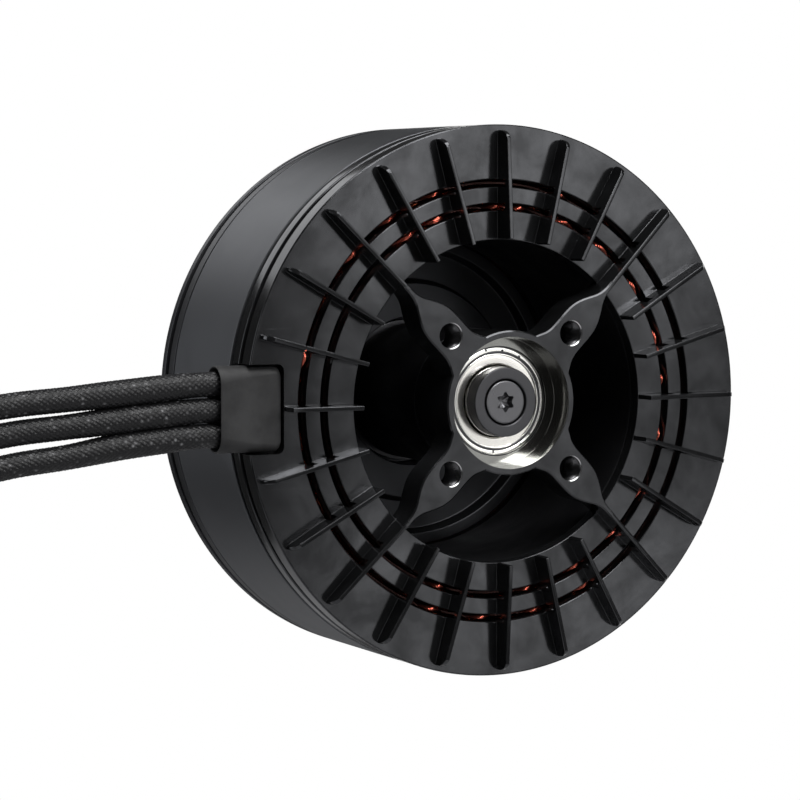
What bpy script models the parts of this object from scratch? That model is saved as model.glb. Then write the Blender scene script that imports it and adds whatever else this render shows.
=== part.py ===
"""Brushless outrunner motor, 155 mm across, with a finned stator base and three phase leads.

Units are metres. The motor turns about the Y axis. Its mounting face, the front of the hub, lies in
the plane y = 0 and looks towards -Y, and the rotor and its propeller face are on the +Y side.
The origin is the centre of the four mounting holes. The leads leave towards -X and hang down.
"""

import math

import bmesh
import bpy
from mathutils import Matrix, Vector

MM = 0.001
GAP = 0.3 * MM
FULL_TURN = 2 * math.pi

# Overall sizes
RIM_RADIUS = 77.5 * MM
ROUND_SEGMENTS = 40
BEARING_SEGMENTS = 24
SMALL_SEGMENTS = 10
# How far a hole's cutter reaches past the face that it opens into
OVERSHOOT = 1.0 * MM

# Stator base: hub, plate, fins and grooves
PLATE_FACE = 7.0 * MM
PLATE_BACK = 11.0 * MM
PLATE_BORE_RADIUS = 45.4 * MM
RIM_BACK = 17.8 * MM
RIM_GROOVE = (11.4 * MM, 14.2 * MM)
RIM_GROOVE_RADIUS = 75.9 * MM
RIM_WALL_RADIUS = 71.5 * MM
LIP_RADIUS = 74.4 * MM
LIP_BACK = 20.6 * MM
FIN_PITCH_COUNT = 24
FIN_THICKNESS = 1.5 * MM
FIN_INNER_RADIUS = 45.8 * MM
FIN_OUTER_RADIUS = 75.2 * MM
FIN_OUTER_TOP = 1.8 * MM
FIN_ROOT_DEPTH = 1.0 * MM
SLOTS = ((53.5 * MM, 55.6 * MM), (60.1 * MM, 62.2 * MM))
SLOT_TOP = 2.9 * MM
SLOT_LAP = 0.2 * MM
HUB_RADIUS = 20.2 * MM
HUB_BORE_RADIUS = 18.4 * MM
HUB_BORE_DEPTH = 8.3 * MM
HUB_BACK = 20.5 * MM
BARREL_RADIUS = 19.9 * MM
BARREL_FRONT = 5.0 * MM
ARM_DEPTH = 10.5 * MM
HOLE_CIRCLE_RADIUS = 27.0 * MM
HOLE_RADIUS = 3.1 * MM
HOLE_CHAMFER_RADIUS = 3.6 * MM
# One side of a lobe and its arm, from the plate to the hub's ring: (along the arm, across it) in mm
LOBE_SIDE = (
    (46.9, 0.8),
    (42.6, 0.9),
    (40.2, 1.7),
    (37.0, 3.5),
    (33.6, 5.0),
    (30.0, 5.5),
    (24.0, 5.5),
    (21.4, 6.1),
    (18.85, 7.3),
)

# Bearings, 15 by 32 by 9 mm
BEARING_BORE = 7.6 * MM
BEARING_OUTSIDE = 15.9 * MM
BEARING_WIDTH = 9.0 * MM
BEARING_SEAT = 16.2 * MM
BEARING_SHOULDER = 13.6 * MM
BALL_RADIUS = 2.38 * MM
SHIELD_BORE = 10.3 * MM
SHIELD_OUTSIDE = 13.6 * MM
SHIELD_THICKNESS = 0.4 * MM
SHIELD_INSET = 0.5 * MM
CLIP_WIDTH = 0.95 * MM
CLIP_THICKNESS = 0.3 * MM
CLIP_INSET = 0.05 * MM
CLIP_ARC = (math.radians(-50), math.radians(290))
INNER_LAND_RADIUS = 9.9 * MM
GROOVE_MOUTH_HALF_WIDTH = 1.8 * MM
GROOVE_FLOOR_HALF_WIDTH = 0.8 * MM
CAGE_HALF_WIDTH = 1.0 * MM
CAGE_HALF_THICKNESS = 0.5 * MM
BALL_CIRCLE = 11.75 * MM
BALL_COUNT = 9
FRONT_BEARING_Y = 8.5 * MM
REAR_BEARING_Y = 54.0 * MM
SPACER_RADIUS = 9.4 * MM
WASHER_RADII = (13.9 * MM, 15.7 * MM)
WASHER_THICKNESS = 0.4 * MM
WASHER_RISE = 0.35 * MM
WASHER_WAVES = 4
WASHER_SEGMENTS = 36

# Bearing tube, stator carrier, core and windings
TUBE_RADIUS = 20.0 * MM
TUBE_BACK = 63.2 * MM
TUBE_SHOULDER = 52.4 * MM
CARRIER_RING = (45.5 * MM, 48.4 * MM)
CARRIER_FLANGE_RADIUS = 53.2 * MM
CARRIER_FLANGE_THICKNESS = 3.0 * MM
CARRIER_BACK = 56.0 * MM
CARRIER_SCREW_CIRCLE = 50.9 * MM
CARRIER_HOLE_RADIUS = 1.45 * MM
CARRIER_HOLE_END = 7.9 * MM
# A screw's shank radius and length, head radius and head height
CARRIER_SCREW = (1.15 * MM, 5.8 * MM, 2.2 * MM, 2.4 * MM)
CORE = (27.0 * MM, 53.0 * MM)
CORE_BORE = 48.7 * MM
YOKE_RADIUS = 52.0 * MM
TOOTH_COUNT = 36
TOOTH_HALF_WIDTH = 2.1 * MM
TOOTH_TIP_START = 67.6 * MM
CORE_RADIUS = 70.3 * MM
TIP_HALF_WIDTH = 4.9 * MM
COIL_RADII = (52.7 * MM, 66.8 * MM)
COIL_HALF_WIDTH = 4.2 * MM
COIL_WINDOW_HALF_WIDTH = 2.45 * MM
COIL_ENDS = (21.8 * MM, 58.2 * MM)
COIL_WINDOW = (26.6 * MM, 53.4 * MM)
LINKS = {
    "a": (53.8 * MM, 55.3 * MM, 8.4 * MM, 13.0 * MM),
    "b": (60.4 * MM, 61.9 * MM, 8.4 * MM, 13.0 * MM),
    "c": (57.0 * MM, 58.8 * MM, 11.4 * MM, 13.2 * MM),
}
POST_HALF_WIDTH = 0.6 * MM
POST_LAP = 0.8 * MM
PHASE_OF_TOOTH = "aabbccaabbcc"

# Rotor
ROTOR_FRONT = 21.5 * MM
FLUX_RING_BACK = 58.8 * MM
FLUX_RING_BORE = 74.2 * MM
MAGNET_COUNT = 42
MAGNETS = (24.0 * MM, 56.0 * MM)
MAGNET_INNER_RADIUS = 71.3 * MM
MAGNET_OUTER_RADIUS = 73.8 * MM
MAGNET_HALF_PITCH = 0.43
MAGNET_JOINT_DEPTH = 0.8 * MM
BELL_BACK = 70.4 * MM
BELL_HUB_FRONT = 60.0 * MM
# The bell's inside from its hub to the spigot in the flux ring, as (radius, y)
BELL_INSIDE = (
    (32.0 * MM, BELL_HUB_FRONT),
    (33.0 * MM, 63.5 * MM),
    (41.5 * MM, 63.5 * MM),
    (42.5 * MM, BELL_HUB_FRONT),
    (46.0 * MM, BELL_HUB_FRONT),
    (47.0 * MM, 62.0 * MM),
    (70.8 * MM, 62.0 * MM),
    (71.6 * MM, 60.5 * MM),
    (71.6 * MM, 56.5 * MM),
)
# The grooved rim of the bell, and its back from the rim to the hub, as (radius, y)
BELL_RIM = (
    (RIM_RADIUS, 63.0 * MM),
    (76.0 * MM, 63.0 * MM),
    (76.0 * MM, 65.2 * MM),
    (RIM_RADIUS, 65.2 * MM),
    (RIM_RADIUS, 67.8 * MM),
    (76.3 * MM, BELL_BACK),
    (68.0 * MM, BELL_BACK),
    (66.0 * MM, 66.0 * MM),
    (34.0 * MM, 67.5 * MM),
)
BELL_VENT_COUNT = 12
BELL_VENT_CIRCLE = 57.0 * MM
BELL_VENT_RADIUS = 6.0 * MM
BELL_HUB_RADIUS = 31.0 * MM
PROP_FACE = 78.0 * MM
PROP_HOLE_CIRCLE = 22.5 * MM
PROP_HOLE_COUNT = 4
PROP_HOLE_RADIUS = 2.5 * MM
PROP_HOLE_END = 70.3 * MM
PROP_EDGE = 1.5 * MM
SHAFT_RADIUS = 7.3 * MM
SHAFT_FLANGE = (64.5 * MM, 68.5 * MM)
SHAFT_FLANGE_RADIUS = 21.0 * MM
SHAFT_NOSE_RADIUS = 8.0 * MM
SHAFT_NOSE_INSET = 0.5 * MM
SHAFT_SHOULDER_RADIUS = 9.8 * MM
SHAFT_TAP = (3.0 * MM, 16.0 * MM, 18.0 * MM)
FLANGE_SCREW_CIRCLE = 14.5 * MM
FLANGE_SCREW_COUNT = 4
FLANGE_SCREW_START = math.pi / 4
FLANGE_SCREW = (1.9 * MM, 8.8 * MM, 3.4 * MM, 3.5 * MM)
FLANGE_SCREW_SEAT = 73.7 * MM
FLANGE_SCREW_HOLE = 2.3 * MM
FLANGE_SCREW_SINK = 3.8 * MM
SHAFT_HOLE_RADIUS = 2.2 * MM
COLLAR = (3.4 * MM, 8.2 * MM)
COLLAR_RADIUS = 9.8 * MM
COLLAR_EDGE = 0.6 * MM
COLLAR_SINK_RADIUS = 6.5 * MM
COLLAR_HOLE_RADIUS = 3.3 * MM
END_SCREW_HEAD_RADIUS = 6.0 * MM
END_SCREW_SINK = 0.1 * MM
END_SCREW_RIM = 0.5 * MM
END_SCREW_HEAD_DEPTH = 4.3 * MM
END_SCREW_RADIUS = 2.7 * MM
END_SCREW_END = 22.5 * MM
SOCKET_RADIUS = 2.3 * MM
SOCKET_LOBE = 0.42 * MM
SOCKET_LOBE_COUNT = 6
SOCKET_DEPTH = 2.6 * MM
SOCKET_POINTS = 24

# Boot and leads
NOTCH_END = 66.5 * MM
NOTCH_HALF_HEIGHT = 12.2 * MM
NOTCH_CORNER = 0.5 * MM
BOOT_Y = 12.4 * MM
BOOT_HALF_THICKNESS = 5.0 * MM
BOOT_HALF_HEIGHT = 11.9 * MM
BOOT_MOUTH = 84.8 * MM
BOOT_POCKET_DEPTH = 6.0 * MM
BOOT_CORNER = 2.2 * MM
BOOT_POCKET_CORNER = 3.4 * MM
BOOT_COLLAR_HALF_HEIGHT = 14.0 * MM
BOOT_COLLAR_START = 0.1 * MM
BOOT_COLLAR_END = 3.0 * MM
BOOT_COLLAR_CORNER = 1.5 * MM
LEAD_JOINT_RADIUS = 2.6 * MM
LEAD_JOINT_LENGTH = 6.2 * MM
LEAD_JOINT_Y = 16.9 * MM
LEAD_RADIUS = 3.4 * MM
LEAD_PITCH = 7.15 * MM
LEAD_STEP = 15.0 * MM
CURVE_STEPS = 20
PLUG_RADIUS = 4.0 * MM
SLEEVE_RADIUS = 5.0 * MM
SLEEVE_LENGTH = 24.0 * MM
SLEEVE_OVERLAP = 10.0 * MM
PLUG_LENGTH = 26.0 * MM
SLEEVE_EDGE = 0.4 * MM
PLUG_DEPTH = 1.0 * MM
# How far from its tip the plug narrows and swells, and the radius there
PLUG_NECK = (8.0 * MM, PLUG_RADIUS)
PLUG_WAIST = (6.0 * MM, 3.2 * MM)
PLUG_BULGE = (3.0 * MM, 3.8 * MM)
PLUG_TIP_RADIUS = 1.5 * MM
# Points that each lead passes through, from inside the boot to its hanging end: (x, y, z) in mm
LEAD_ROUTES = {
    "a": (
        (-79.1, 12.4, 7.15),
        (-92.0, 12.4, 7.0),
        (-110.0, 12.4, 5.6),
        (-127.0, 12.4, 4.1),
        (-143.0, 12.4, 2.9),
        (-161.0, 12.5, 0.2),
        (-178.0, 12.7, -7.5),
        (-191.0, 13.0, -21.0),
        (-199.0, 13.4, -39.0),
        (-202.5, 13.8, -60.0),
        (-203.5, 14.0, -85.0),
        (-203.5, 14.0, -112.0),
        (-203.5, 14.0, -140.0),
    ),
    "b": (
        (-79.1, 12.4, 0.0),
        (-92.0, 12.4, -0.3),
        (-110.0, 12.4, -1.7),
        (-127.0, 12.4, -3.2),
        (-143.0, 12.4, -4.6),
        (-158.0, 12.3, -7.5),
        (-172.0, 12.1, -14.5),
        (-182.5, 11.9, -26.0),
        (-188.5, 11.7, -42.0),
        (-190.7, 11.5, -62.0),
        (-191.2, 11.4, -88.0),
        (-191.2, 11.4, -117.0),
        (-191.2, 11.4, -146.0),
    ),
    "c": (
        (-79.1, 12.4, -7.15),
        (-92.0, 12.4, -7.6),
        (-110.0, 12.4, -9.2),
        (-127.0, 12.4, -11.2),
        (-143.0, 12.4, -13.0),
        (-155.0, 12.5, -16.0),
        (-166.5, 12.8, -23.0),
        (-174.5, 13.1, -34.0),
        (-178.4, 13.4, -49.0),
        (-179.2, 13.6, -68.0),
        (-179.2, 13.6, -94.0),
        (-179.2, 13.6, -124.0),
        (-179.2, 13.6, -152.0),
    ),
}


def clear_scene():
    for obj in list(bpy.data.objects):
        bpy.data.objects.remove(obj, do_unlink=True)


def material(name, colour, roughness, metallic):
    """The Principled material of this name, made the first time it is asked for."""
    found = bpy.data.materials.get(name)
    if found:
        return found
    made = bpy.data.materials.new(name)
    made.use_nodes = True
    shader = made.node_tree.nodes["Principled BSDF"]
    shader.inputs["Base Color"].default_value = (*colour, 1.0)
    shader.inputs["Roughness"].default_value = roughness
    shader.inputs["Metallic"].default_value = metallic
    return made


def anodised():
    return material("black_anodised", (0.035, 0.036, 0.039), 0.42, 0.7)


def carrier_metal():
    return material("carrier_aluminium", (0.05, 0.05, 0.053), 0.5, 0.8)


def steel():
    return material("bright_steel", (0.75, 0.74, 0.7), 0.2, 1.0)


def dark_steel():
    return material("black_oxide_steel", (0.06, 0.06, 0.065), 0.38, 0.9)


def ring_steel():
    return material("coated_ring_steel", (0.055, 0.057, 0.062), 0.4, 0.8)


def core_steel():
    return material("lamination_steel", (0.12, 0.12, 0.13), 0.5, 0.8)


def copper():
    return material("enamelled_copper", (0.62, 0.16, 0.07), 0.28, 0.9)


def magnet():
    return material("nickel_magnet", (0.4, 0.4, 0.42), 0.3, 0.9)


def rubber():
    return material("boot_rubber", (0.03, 0.03, 0.031), 0.7, 0.0)


def braid():
    return material("braided_sleeve", (0.018, 0.018, 0.02), 0.65, 0.0)


def shrink():
    return material("heat_shrink", (0.02, 0.02, 0.021), 0.5, 0.0)


def gold():
    return material("gold_plate", (0.83, 0.61, 0.26), 0.22, 1.0)


def add_object(name, mesh, parent=None):
    obj = bpy.data.objects.new(name, mesh)
    bpy.context.scene.collection.objects.link(obj)
    obj.parent = parent
    return obj


def add_empty(name):
    return add_object(name, None)


def to_object(name, shape, look=None, parent=None):
    """Turns a bmesh into a named object, shaded smooth between its sharp edges."""
    bmesh.ops.recalc_face_normals(shape, faces=shape.faces)
    mesh = bpy.data.meshes.new(name)
    shape.to_mesh(mesh)
    shape.free()
    mesh.shade_smooth()
    mesh.set_sharp_from_angle(angle=math.radians(32))
    if look:
        mesh.materials.append(look)
    return add_object(name, mesh, parent)


def boolean(obj, operation, other):
    """Adds a Boolean to obj and hides its operand, which stays a guide in the file."""
    modifier = obj.modifiers.new(other.name, "BOOLEAN")
    modifier.operation = operation
    modifier.solver = "EXACT"
    modifier.object = other
    other.hide_render = True
    other.display_type = "WIRE"


def cut(obj, other):
    boolean(obj, "DIFFERENCE", other)


def join(obj, other):
    boolean(obj, "UNION", other)


def turned(profile, segments, closed=True):
    """A bmesh turned about Y from (radius, y) points. An open profile starts and ends on the axis."""
    shape = bmesh.new()
    verts = [shape.verts.new((radius, y, 0.0)) for radius, y in profile]
    edges = [shape.edges.new(pair) for pair in zip(verts, verts[1:])]
    if closed:
        edges.append(shape.edges.new((verts[-1], verts[0])))
    bmesh.ops.spin(
        shape,
        geom=verts + edges,
        cent=(0.0, 0.0, 0.0),
        axis=(0.0, 1.0, 0.0),
        angle=FULL_TURN,
        steps=segments,
        use_merge=True,
    )
    bmesh.ops.remove_doubles(shape, verts=shape.verts, dist=1e-6)
    return shape


def prism(outlines, y0, y1):
    """A bmesh between y0 and y1 whose section in XZ is the first outline less the others."""
    shape = bmesh.new()
    edges = []
    for outline in outlines:
        verts = [shape.verts.new((x, y0, z)) for x, z in outline]
        edges += [shape.edges.new((verts[i - 1], verts[i])) for i in range(len(verts))]
    bmesh.ops.triangle_fill(shape, edges=edges, use_beauty=True, use_dissolve=False)
    grown = bmesh.ops.extrude_face_region(shape, geom=shape.faces[:])
    far = [item for item in grown["geom"] if isinstance(item, bmesh.types.BMVert)]
    bmesh.ops.translate(shape, verts=far, vec=(0.0, y1 - y0, 0.0))
    return shape


def slab(side, thickness):
    """A plate of this thickness, centred on z = 0, from an outline of (x, y) points."""
    shape = bmesh.new()
    face = shape.faces.new([shape.verts.new((x, y, -thickness / 2)) for x, y in side])
    grown = bmesh.ops.extrude_face_region(shape, geom=[face])
    verts = [item for item in grown["geom"] if isinstance(item, bmesh.types.BMVert)]
    bmesh.ops.translate(shape, verts=verts, vec=(0.0, 0.0, thickness))
    bmesh.ops.recalc_face_normals(shape, faces=shape.faces)
    return shape


def merged(shapes):
    """One bmesh that holds all of these, as separate bodies."""
    whole = bmesh.new()
    for shape in shapes:
        mesh = bpy.data.meshes.new("scratch")
        shape.to_mesh(mesh)
        shape.free()
        whole.from_mesh(mesh)
        bpy.data.meshes.remove(mesh)
    return whole


def moved(shape, matrix):
    bmesh.ops.transform(shape, matrix=matrix, verts=shape.verts)
    return shape


def about_axis(angle):
    """The turn about the motor's axis that takes +X to this angle, counted towards +Z."""
    return Matrix.Rotation(-angle, 4, "Y")


def polar(radius, angle):
    return (radius * math.cos(angle), radius * math.sin(angle))


def arc(centre, radius, start, end, count):
    """Points of an arc in XZ, both ends included."""
    points = []
    for i in range(count):
        x, z = polar(radius, start + (end - start) * i / (count - 1))
        points.append((centre[0] + x, centre[1] + z))
    return points


def circle(radius, count, centre=(0.0, 0.0)):
    return arc(centre, radius, 0.0, FULL_TURN * (1 - 1 / count), count)


def rounded_rectangle(centre, half_width, half_height, corner, steps=4):
    """An outline whose corners are arcs of radius corner."""
    points = []
    for quarter, (sx, sz) in enumerate(((1, 1), (-1, 1), (-1, -1), (1, -1))):
        middle = (centre[0] + sx * (half_width - corner), centre[1] + sz * (half_height - corner))
        start = quarter * math.pi / 2
        points += arc(middle, corner, start, start + math.pi / 2, steps)
    return points


def evenly(count, start=0.0):
    return [start + FULL_TURN * i / count for i in range(count)]


# ---------------------------------------------------------------- stator base


def hub_loop():
    """The hub's outline in XZ: four lobes that taper into arms, and the ring's wall between them."""
    start = math.atan2(LOBE_SIDE[-1][1], LOBE_SIDE[-1][0])
    upper = [(MM * along, MM * across) for along, across in LOBE_SIDE]
    upper += arc((0, 0), HUB_RADIUS, start, math.pi / 4, 4)[1:-1]
    lobe = list(reversed(upper)) + [(x, -z) for x, z in upper]
    points = []
    for angle in (math.pi / 4, -math.pi / 4, -3 * math.pi / 4, -5 * math.pi / 4):
        cos, sin = math.cos(angle), math.sin(angle)
        points += [(x * cos - z * sin, x * sin + z * cos) for x, z in lobe]
        points.append(polar(HUB_RADIUS, angle - math.pi / 4))
    return points


def fin_shape(angle):
    """One cooling fin, tall at the plate's bore and lower at the rim, that bridges both slots."""
    root = PLATE_FACE + FIN_ROOT_DEPTH
    side = [
        (FIN_INNER_RADIUS, root),
        (FIN_INNER_RADIUS, 0.0),
        (FIN_OUTER_RADIUS - 2.4 * MM, FIN_OUTER_TOP),
        (FIN_OUTER_RADIUS - 0.7 * MM, FIN_OUTER_TOP + 0.9 * MM),
        (FIN_OUTER_RADIUS, FIN_OUTER_TOP + 2.7 * MM),
        (FIN_OUTER_RADIUS, root),
    ]
    for inner, outer in reversed(SLOTS):
        low, high = inner - SLOT_LAP, outer + SLOT_LAP
        side += [(high, root), (high, SLOT_TOP), (low, SLOT_TOP), (low, root)]
    return moved(slab(side, FIN_THICKNESS), about_axis(angle))


def plate_rings():
    """The plate's rings on both sides of the two slots. The outermost one carries the rim."""
    inner_slot, outer_slot = SLOTS
    rings = []
    for inner, outer in ((PLATE_BORE_RADIUS, inner_slot[0]), (inner_slot[1], outer_slot[0])):
        section = [(inner, PLATE_FACE), (outer, PLATE_FACE), (outer, PLATE_BACK), (inner, PLATE_BACK)]
        rings.append(turned(section, ROUND_SEGMENTS))
    rim = [
        (outer_slot[1], PLATE_FACE),
        (RIM_RADIUS, PLATE_FACE),
        (RIM_RADIUS, RIM_GROOVE[0]),
        (RIM_GROOVE_RADIUS, RIM_GROOVE[0]),
        (RIM_GROOVE_RADIUS, RIM_GROOVE[1]),
        (RIM_RADIUS, RIM_GROOVE[1]),
        (RIM_RADIUS, RIM_BACK),
        (LIP_RADIUS, RIM_BACK),
        (LIP_RADIUS, LIP_BACK),
        (RIM_WALL_RADIUS, LIP_BACK),
        (RIM_WALL_RADIUS, PLATE_BACK),
        (outer_slot[1], PLATE_BACK),
    ]
    rings.append(turned(rim, ROUND_SEGMENTS))
    return merged(rings)


def stator_base(parent):
    """The finned plate with its grooved rim, the hub and its arms, all one machined piece."""
    base = to_object("stator_base", plate_rings(), anodised(), parent)
    fins = [fin_shape(angle) for angle in evenly(FIN_PITCH_COUNT)]
    join(base, to_object("guide_fins", merged(fins)))
    join(base, to_object("guide_hub", prism([hub_loop()], 0.0, ARM_DEPTH)))
    barrel = [(0.0, BARREL_FRONT), (BARREL_RADIUS, BARREL_FRONT), (BARREL_RADIUS, HUB_BACK), (0.0, HUB_BACK)]
    join(base, to_object("guide_barrel", turned(barrel, BEARING_SEGMENTS, closed=False)))
    bore = [
        (0.0, -OVERSHOOT),
        (HUB_BORE_RADIUS, -OVERSHOOT),
        (HUB_BORE_RADIUS, HUB_BORE_DEPTH),
        (BEARING_SEAT, HUB_BORE_DEPTH),
        (BEARING_SEAT, FRONT_BEARING_Y + BEARING_WIDTH + GAP),
        (BEARING_SHOULDER, FRONT_BEARING_Y + BEARING_WIDTH + GAP),
        (BEARING_SHOULDER, HUB_BACK + OVERSHOOT),
        (0.0, HUB_BACK + OVERSHOOT),
    ]
    holes = [turned(bore, BEARING_SEGMENTS, closed=False), lead_notch()]
    holes += [mount_hole(a) for a in evenly(4, math.pi / 4)]
    holes += [carrier_hole(a) for a in evenly(4)]
    cut(base, to_object("guide_base_holes", merged(holes)))


def mount_hole(angle):
    """A through hole with a small chamfer at the mounting face."""
    chamfer = HOLE_CHAMFER_RADIUS - HOLE_RADIUS
    profile = [
        (0.0, -chamfer),
        (HOLE_CHAMFER_RADIUS + chamfer, -chamfer),
        (HOLE_RADIUS, chamfer),
        (HOLE_RADIUS, ARM_DEPTH + OVERSHOOT),
        (0.0, ARM_DEPTH + OVERSHOOT),
    ]
    x, z = polar(HOLE_CIRCLE_RADIUS, angle)
    return moved(turned(profile, SMALL_SEGMENTS, closed=False), Matrix.Translation((x, 0.0, z)))


def carrier_hole(angle):
    """A blind hole in the plate's back for a screw that holds the carrier."""
    radius, end, mouth = CARRIER_HOLE_RADIUS, CARRIER_HOLE_END, PLATE_BACK + OVERSHOOT
    profile = [(0.0, end), (radius, end), (radius, mouth), (0.0, mouth)]
    x, z = polar(CARRIER_SCREW_CIRCLE, angle)
    return moved(turned(profile, SMALL_SEGMENTS, closed=False), Matrix.Translation((x, 0.0, z)))


def lead_notch():
    """The notch through the rim that the boot sits in, with rounded inner corners."""
    outer = RIM_RADIUS + 5.0 * MM
    middle = -(outer + NOTCH_END) / 2
    outline = rounded_rectangle((middle, 0.0), (outer - NOTCH_END) / 2, NOTCH_HALF_HEIGHT, NOTCH_CORNER)
    return prism([outline], -OVERSHOOT, LIP_BACK + OVERSHOOT)


# ------------------------------------------- bearing tube, carrier, core and windings


def bearing_tube(parent):
    """The tube that continues the hub and holds the rear bearing against its preload washer."""
    front = HUB_BACK + GAP
    profile = [
        (BEARING_SHOULDER, front),
        (TUBE_RADIUS, front),
        (TUBE_RADIUS, TUBE_BACK),
        (BEARING_SEAT, TUBE_BACK),
        (BEARING_SEAT, TUBE_SHOULDER),
        (BEARING_SHOULDER, TUBE_SHOULDER),
    ]
    to_object("bearing_tube", turned(profile, BEARING_SEGMENTS), carrier_metal(), parent)


def stator_carrier(parent):
    """The ring that holds the core, with a flange that is screwed to the back of the plate."""
    inner, outer = CARRIER_RING
    front = PLATE_BACK + GAP
    flange_back = front + CARRIER_FLANGE_THICKNESS
    profile = [
        (inner, front),
        (CARRIER_FLANGE_RADIUS, front),
        (CARRIER_FLANGE_RADIUS, flange_back),
        (outer, flange_back),
        (outer, CARRIER_BACK),
        (inner, CARRIER_BACK),
    ]
    carrier = to_object("stator_carrier", turned(profile, ROUND_SEGMENTS), carrier_metal(), parent)
    holes = []
    for angle in evenly(4):
        outline = circle(CARRIER_HOLE_RADIUS, SMALL_SEGMENTS)
        hole = prism([outline], front - OVERSHOOT, flange_back + OVERSHOOT)
        x, z = polar(CARRIER_SCREW_CIRCLE, angle)
        holes.append(moved(hole, Matrix.Translation((x, 0.0, z))))
    cut(carrier, to_object("guide_carrier_holes", merged(holes)))


def cap_screw(name, place, sizes, parent):
    """A socket-head screw whose shank points to -Y from the underside of its head, which is at place."""
    shank_radius, shank_length, head_radius, head_height = sizes
    socket_radius = 0.5 * head_radius
    profile = [
        (0.0, -shank_length),
        (shank_radius, -shank_length),
        (shank_radius, 0.0),
        (head_radius, 0.0),
        (head_radius, head_height),
        (socket_radius, head_height),
        (socket_radius, 0.4 * head_height),
        (0.0, 0.4 * head_height),
    ]
    shape = turned(profile, SMALL_SEGMENTS, closed=False)
    screw = to_object(name, shape, dark_steel(), parent)
    screw.location = place
    return screw


def carrier_screws(parent):
    seat = PLATE_BACK + GAP + CARRIER_FLANGE_THICKNESS + GAP
    for number, angle in enumerate(evenly(4), 1):
        x, z = polar(CARRIER_SCREW_CIRCLE, angle)
        cap_screw(f"carrier_screw_{number}", (x, seat, z), CARRIER_SCREW, parent)


def stator_core(parent):
    """The lamination stack: a yoke ring with 36 teeth that widen at their tips."""
    outline = []
    for angle in evenly(TOOTH_COUNT):
        tip = math.asin(TIP_HALF_WIDTH / CORE_RADIUS)
        tooth = [
            (YOKE_RADIUS, -TOOTH_HALF_WIDTH),
            (TOOTH_TIP_START, -TOOTH_HALF_WIDTH),
            (CORE_RADIUS * math.cos(tip), -TIP_HALF_WIDTH),
        ]
        tooth += [(x, -z) for x, z in reversed(tooth)]
        cos, sin = math.cos(angle), math.sin(angle)
        outline += [(x * cos - z * sin, x * sin + z * cos) for x, z in tooth]
    shape = prism([outline, circle(CORE_BORE, ROUND_SEGMENTS)], *CORE)
    to_object("stator_core", shape, core_steel(), parent)


def coil(angle):
    """One coil around a tooth: a box with a window, lying along the tooth."""
    low, high = COIL_ENDS
    wide = COIL_HALF_WIDTH
    outer = [(-wide, low), (wide, low), (wide, high), (-wide, high)]
    half = COIL_WINDOW_HALF_WIDTH
    inner = [(-half, COIL_WINDOW[0]), (half, COIL_WINDOW[0]), (half, COIL_WINDOW[1]), (-half, COIL_WINDOW[1])]
    shape = prism([outer, inner], COIL_RADII[0], COIL_RADII[1])
    # The prism's section is (tangent, axial) and it is extruded along the radius.
    to_radial = Matrix(((0, 1, 0, 0), (0, 0, 1, 0), (1, 0, 0, 0), (0, 0, 0, 1)))
    moved(shape, to_radial)
    bmesh.ops.recalc_face_normals(shape, faces=shape.faces)
    return moved(shape, about_axis(angle))


def post(phase, angle):
    """The wire that leads from a phase's link ring back to one of its coils."""
    inner, outer, front, back = LINKS[phase]
    middle, half = (inner + outer) / 2, POST_HALF_WIDTH
    outline = [(middle - half, -half), (middle + half, -half), (middle + half, half), (middle - half, half)]
    shape = prism([outline], (front + back) / 2, COIL_ENDS[0] + POST_LAP)
    bmesh.ops.recalc_face_normals(shape, faces=shape.faces)
    return moved(shape, about_axis(angle))


def winding(phase, parent):
    """The twelve coils of one phase and the ring of wire behind the plate that links them."""
    inner, outer, front, back = LINKS[phase]
    link = turned([(inner, front), (outer, front), (outer, back), (inner, back)], ROUND_SEGMENTS)
    obj = to_object(f"winding_phase_{phase}", link, copper(), parent)
    angles = [
        angle
        for tooth, angle in enumerate(evenly(TOOTH_COUNT))
        if PHASE_OF_TOOTH[tooth % len(PHASE_OF_TOOTH)] == phase
    ]
    join(obj, to_object(f"guide_posts_{phase}", merged([post(phase, a) for a in angles])))
    join(obj, to_object(f"guide_coils_{phase}", merged([coil(a) for a in angles])))


# ---------------------------------------------------------------- bearings


def outer_race(name, front, parent):
    """The outer ring, with a groove for the balls."""
    back = front + BEARING_WIDTH
    middle = front + BEARING_WIDTH / 2
    land, groove = SHIELD_OUTSIDE + GAP, BALL_CIRCLE + BALL_RADIUS + GAP
    profile = [
        (BEARING_OUTSIDE, front),
        (BEARING_OUTSIDE, back),
        (land, back),
        (land, middle + GROOVE_MOUTH_HALF_WIDTH),
        (groove, middle + GROOVE_FLOOR_HALF_WIDTH),
        (groove, middle - GROOVE_FLOOR_HALF_WIDTH),
        (land, middle - GROOVE_MOUTH_HALF_WIDTH),
        (land, front),
    ]
    to_object(name, turned(profile, BEARING_SEGMENTS), steel(), parent)


def inner_race(name, front, parent):
    back = front + BEARING_WIDTH
    middle = front + BEARING_WIDTH / 2
    land, groove = INNER_LAND_RADIUS, BALL_CIRCLE - BALL_RADIUS - GAP
    profile = [
        (BEARING_BORE, front),
        (BEARING_BORE, back),
        (land, back),
        (land, middle + GROOVE_MOUTH_HALF_WIDTH),
        (groove, middle + GROOVE_FLOOR_HALF_WIDTH),
        (groove, middle - GROOVE_FLOOR_HALF_WIDTH),
        (land, middle - GROOVE_MOUTH_HALF_WIDTH),
        (land, front),
    ]
    to_object(name, turned(profile, BEARING_SEGMENTS), steel(), parent)


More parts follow.
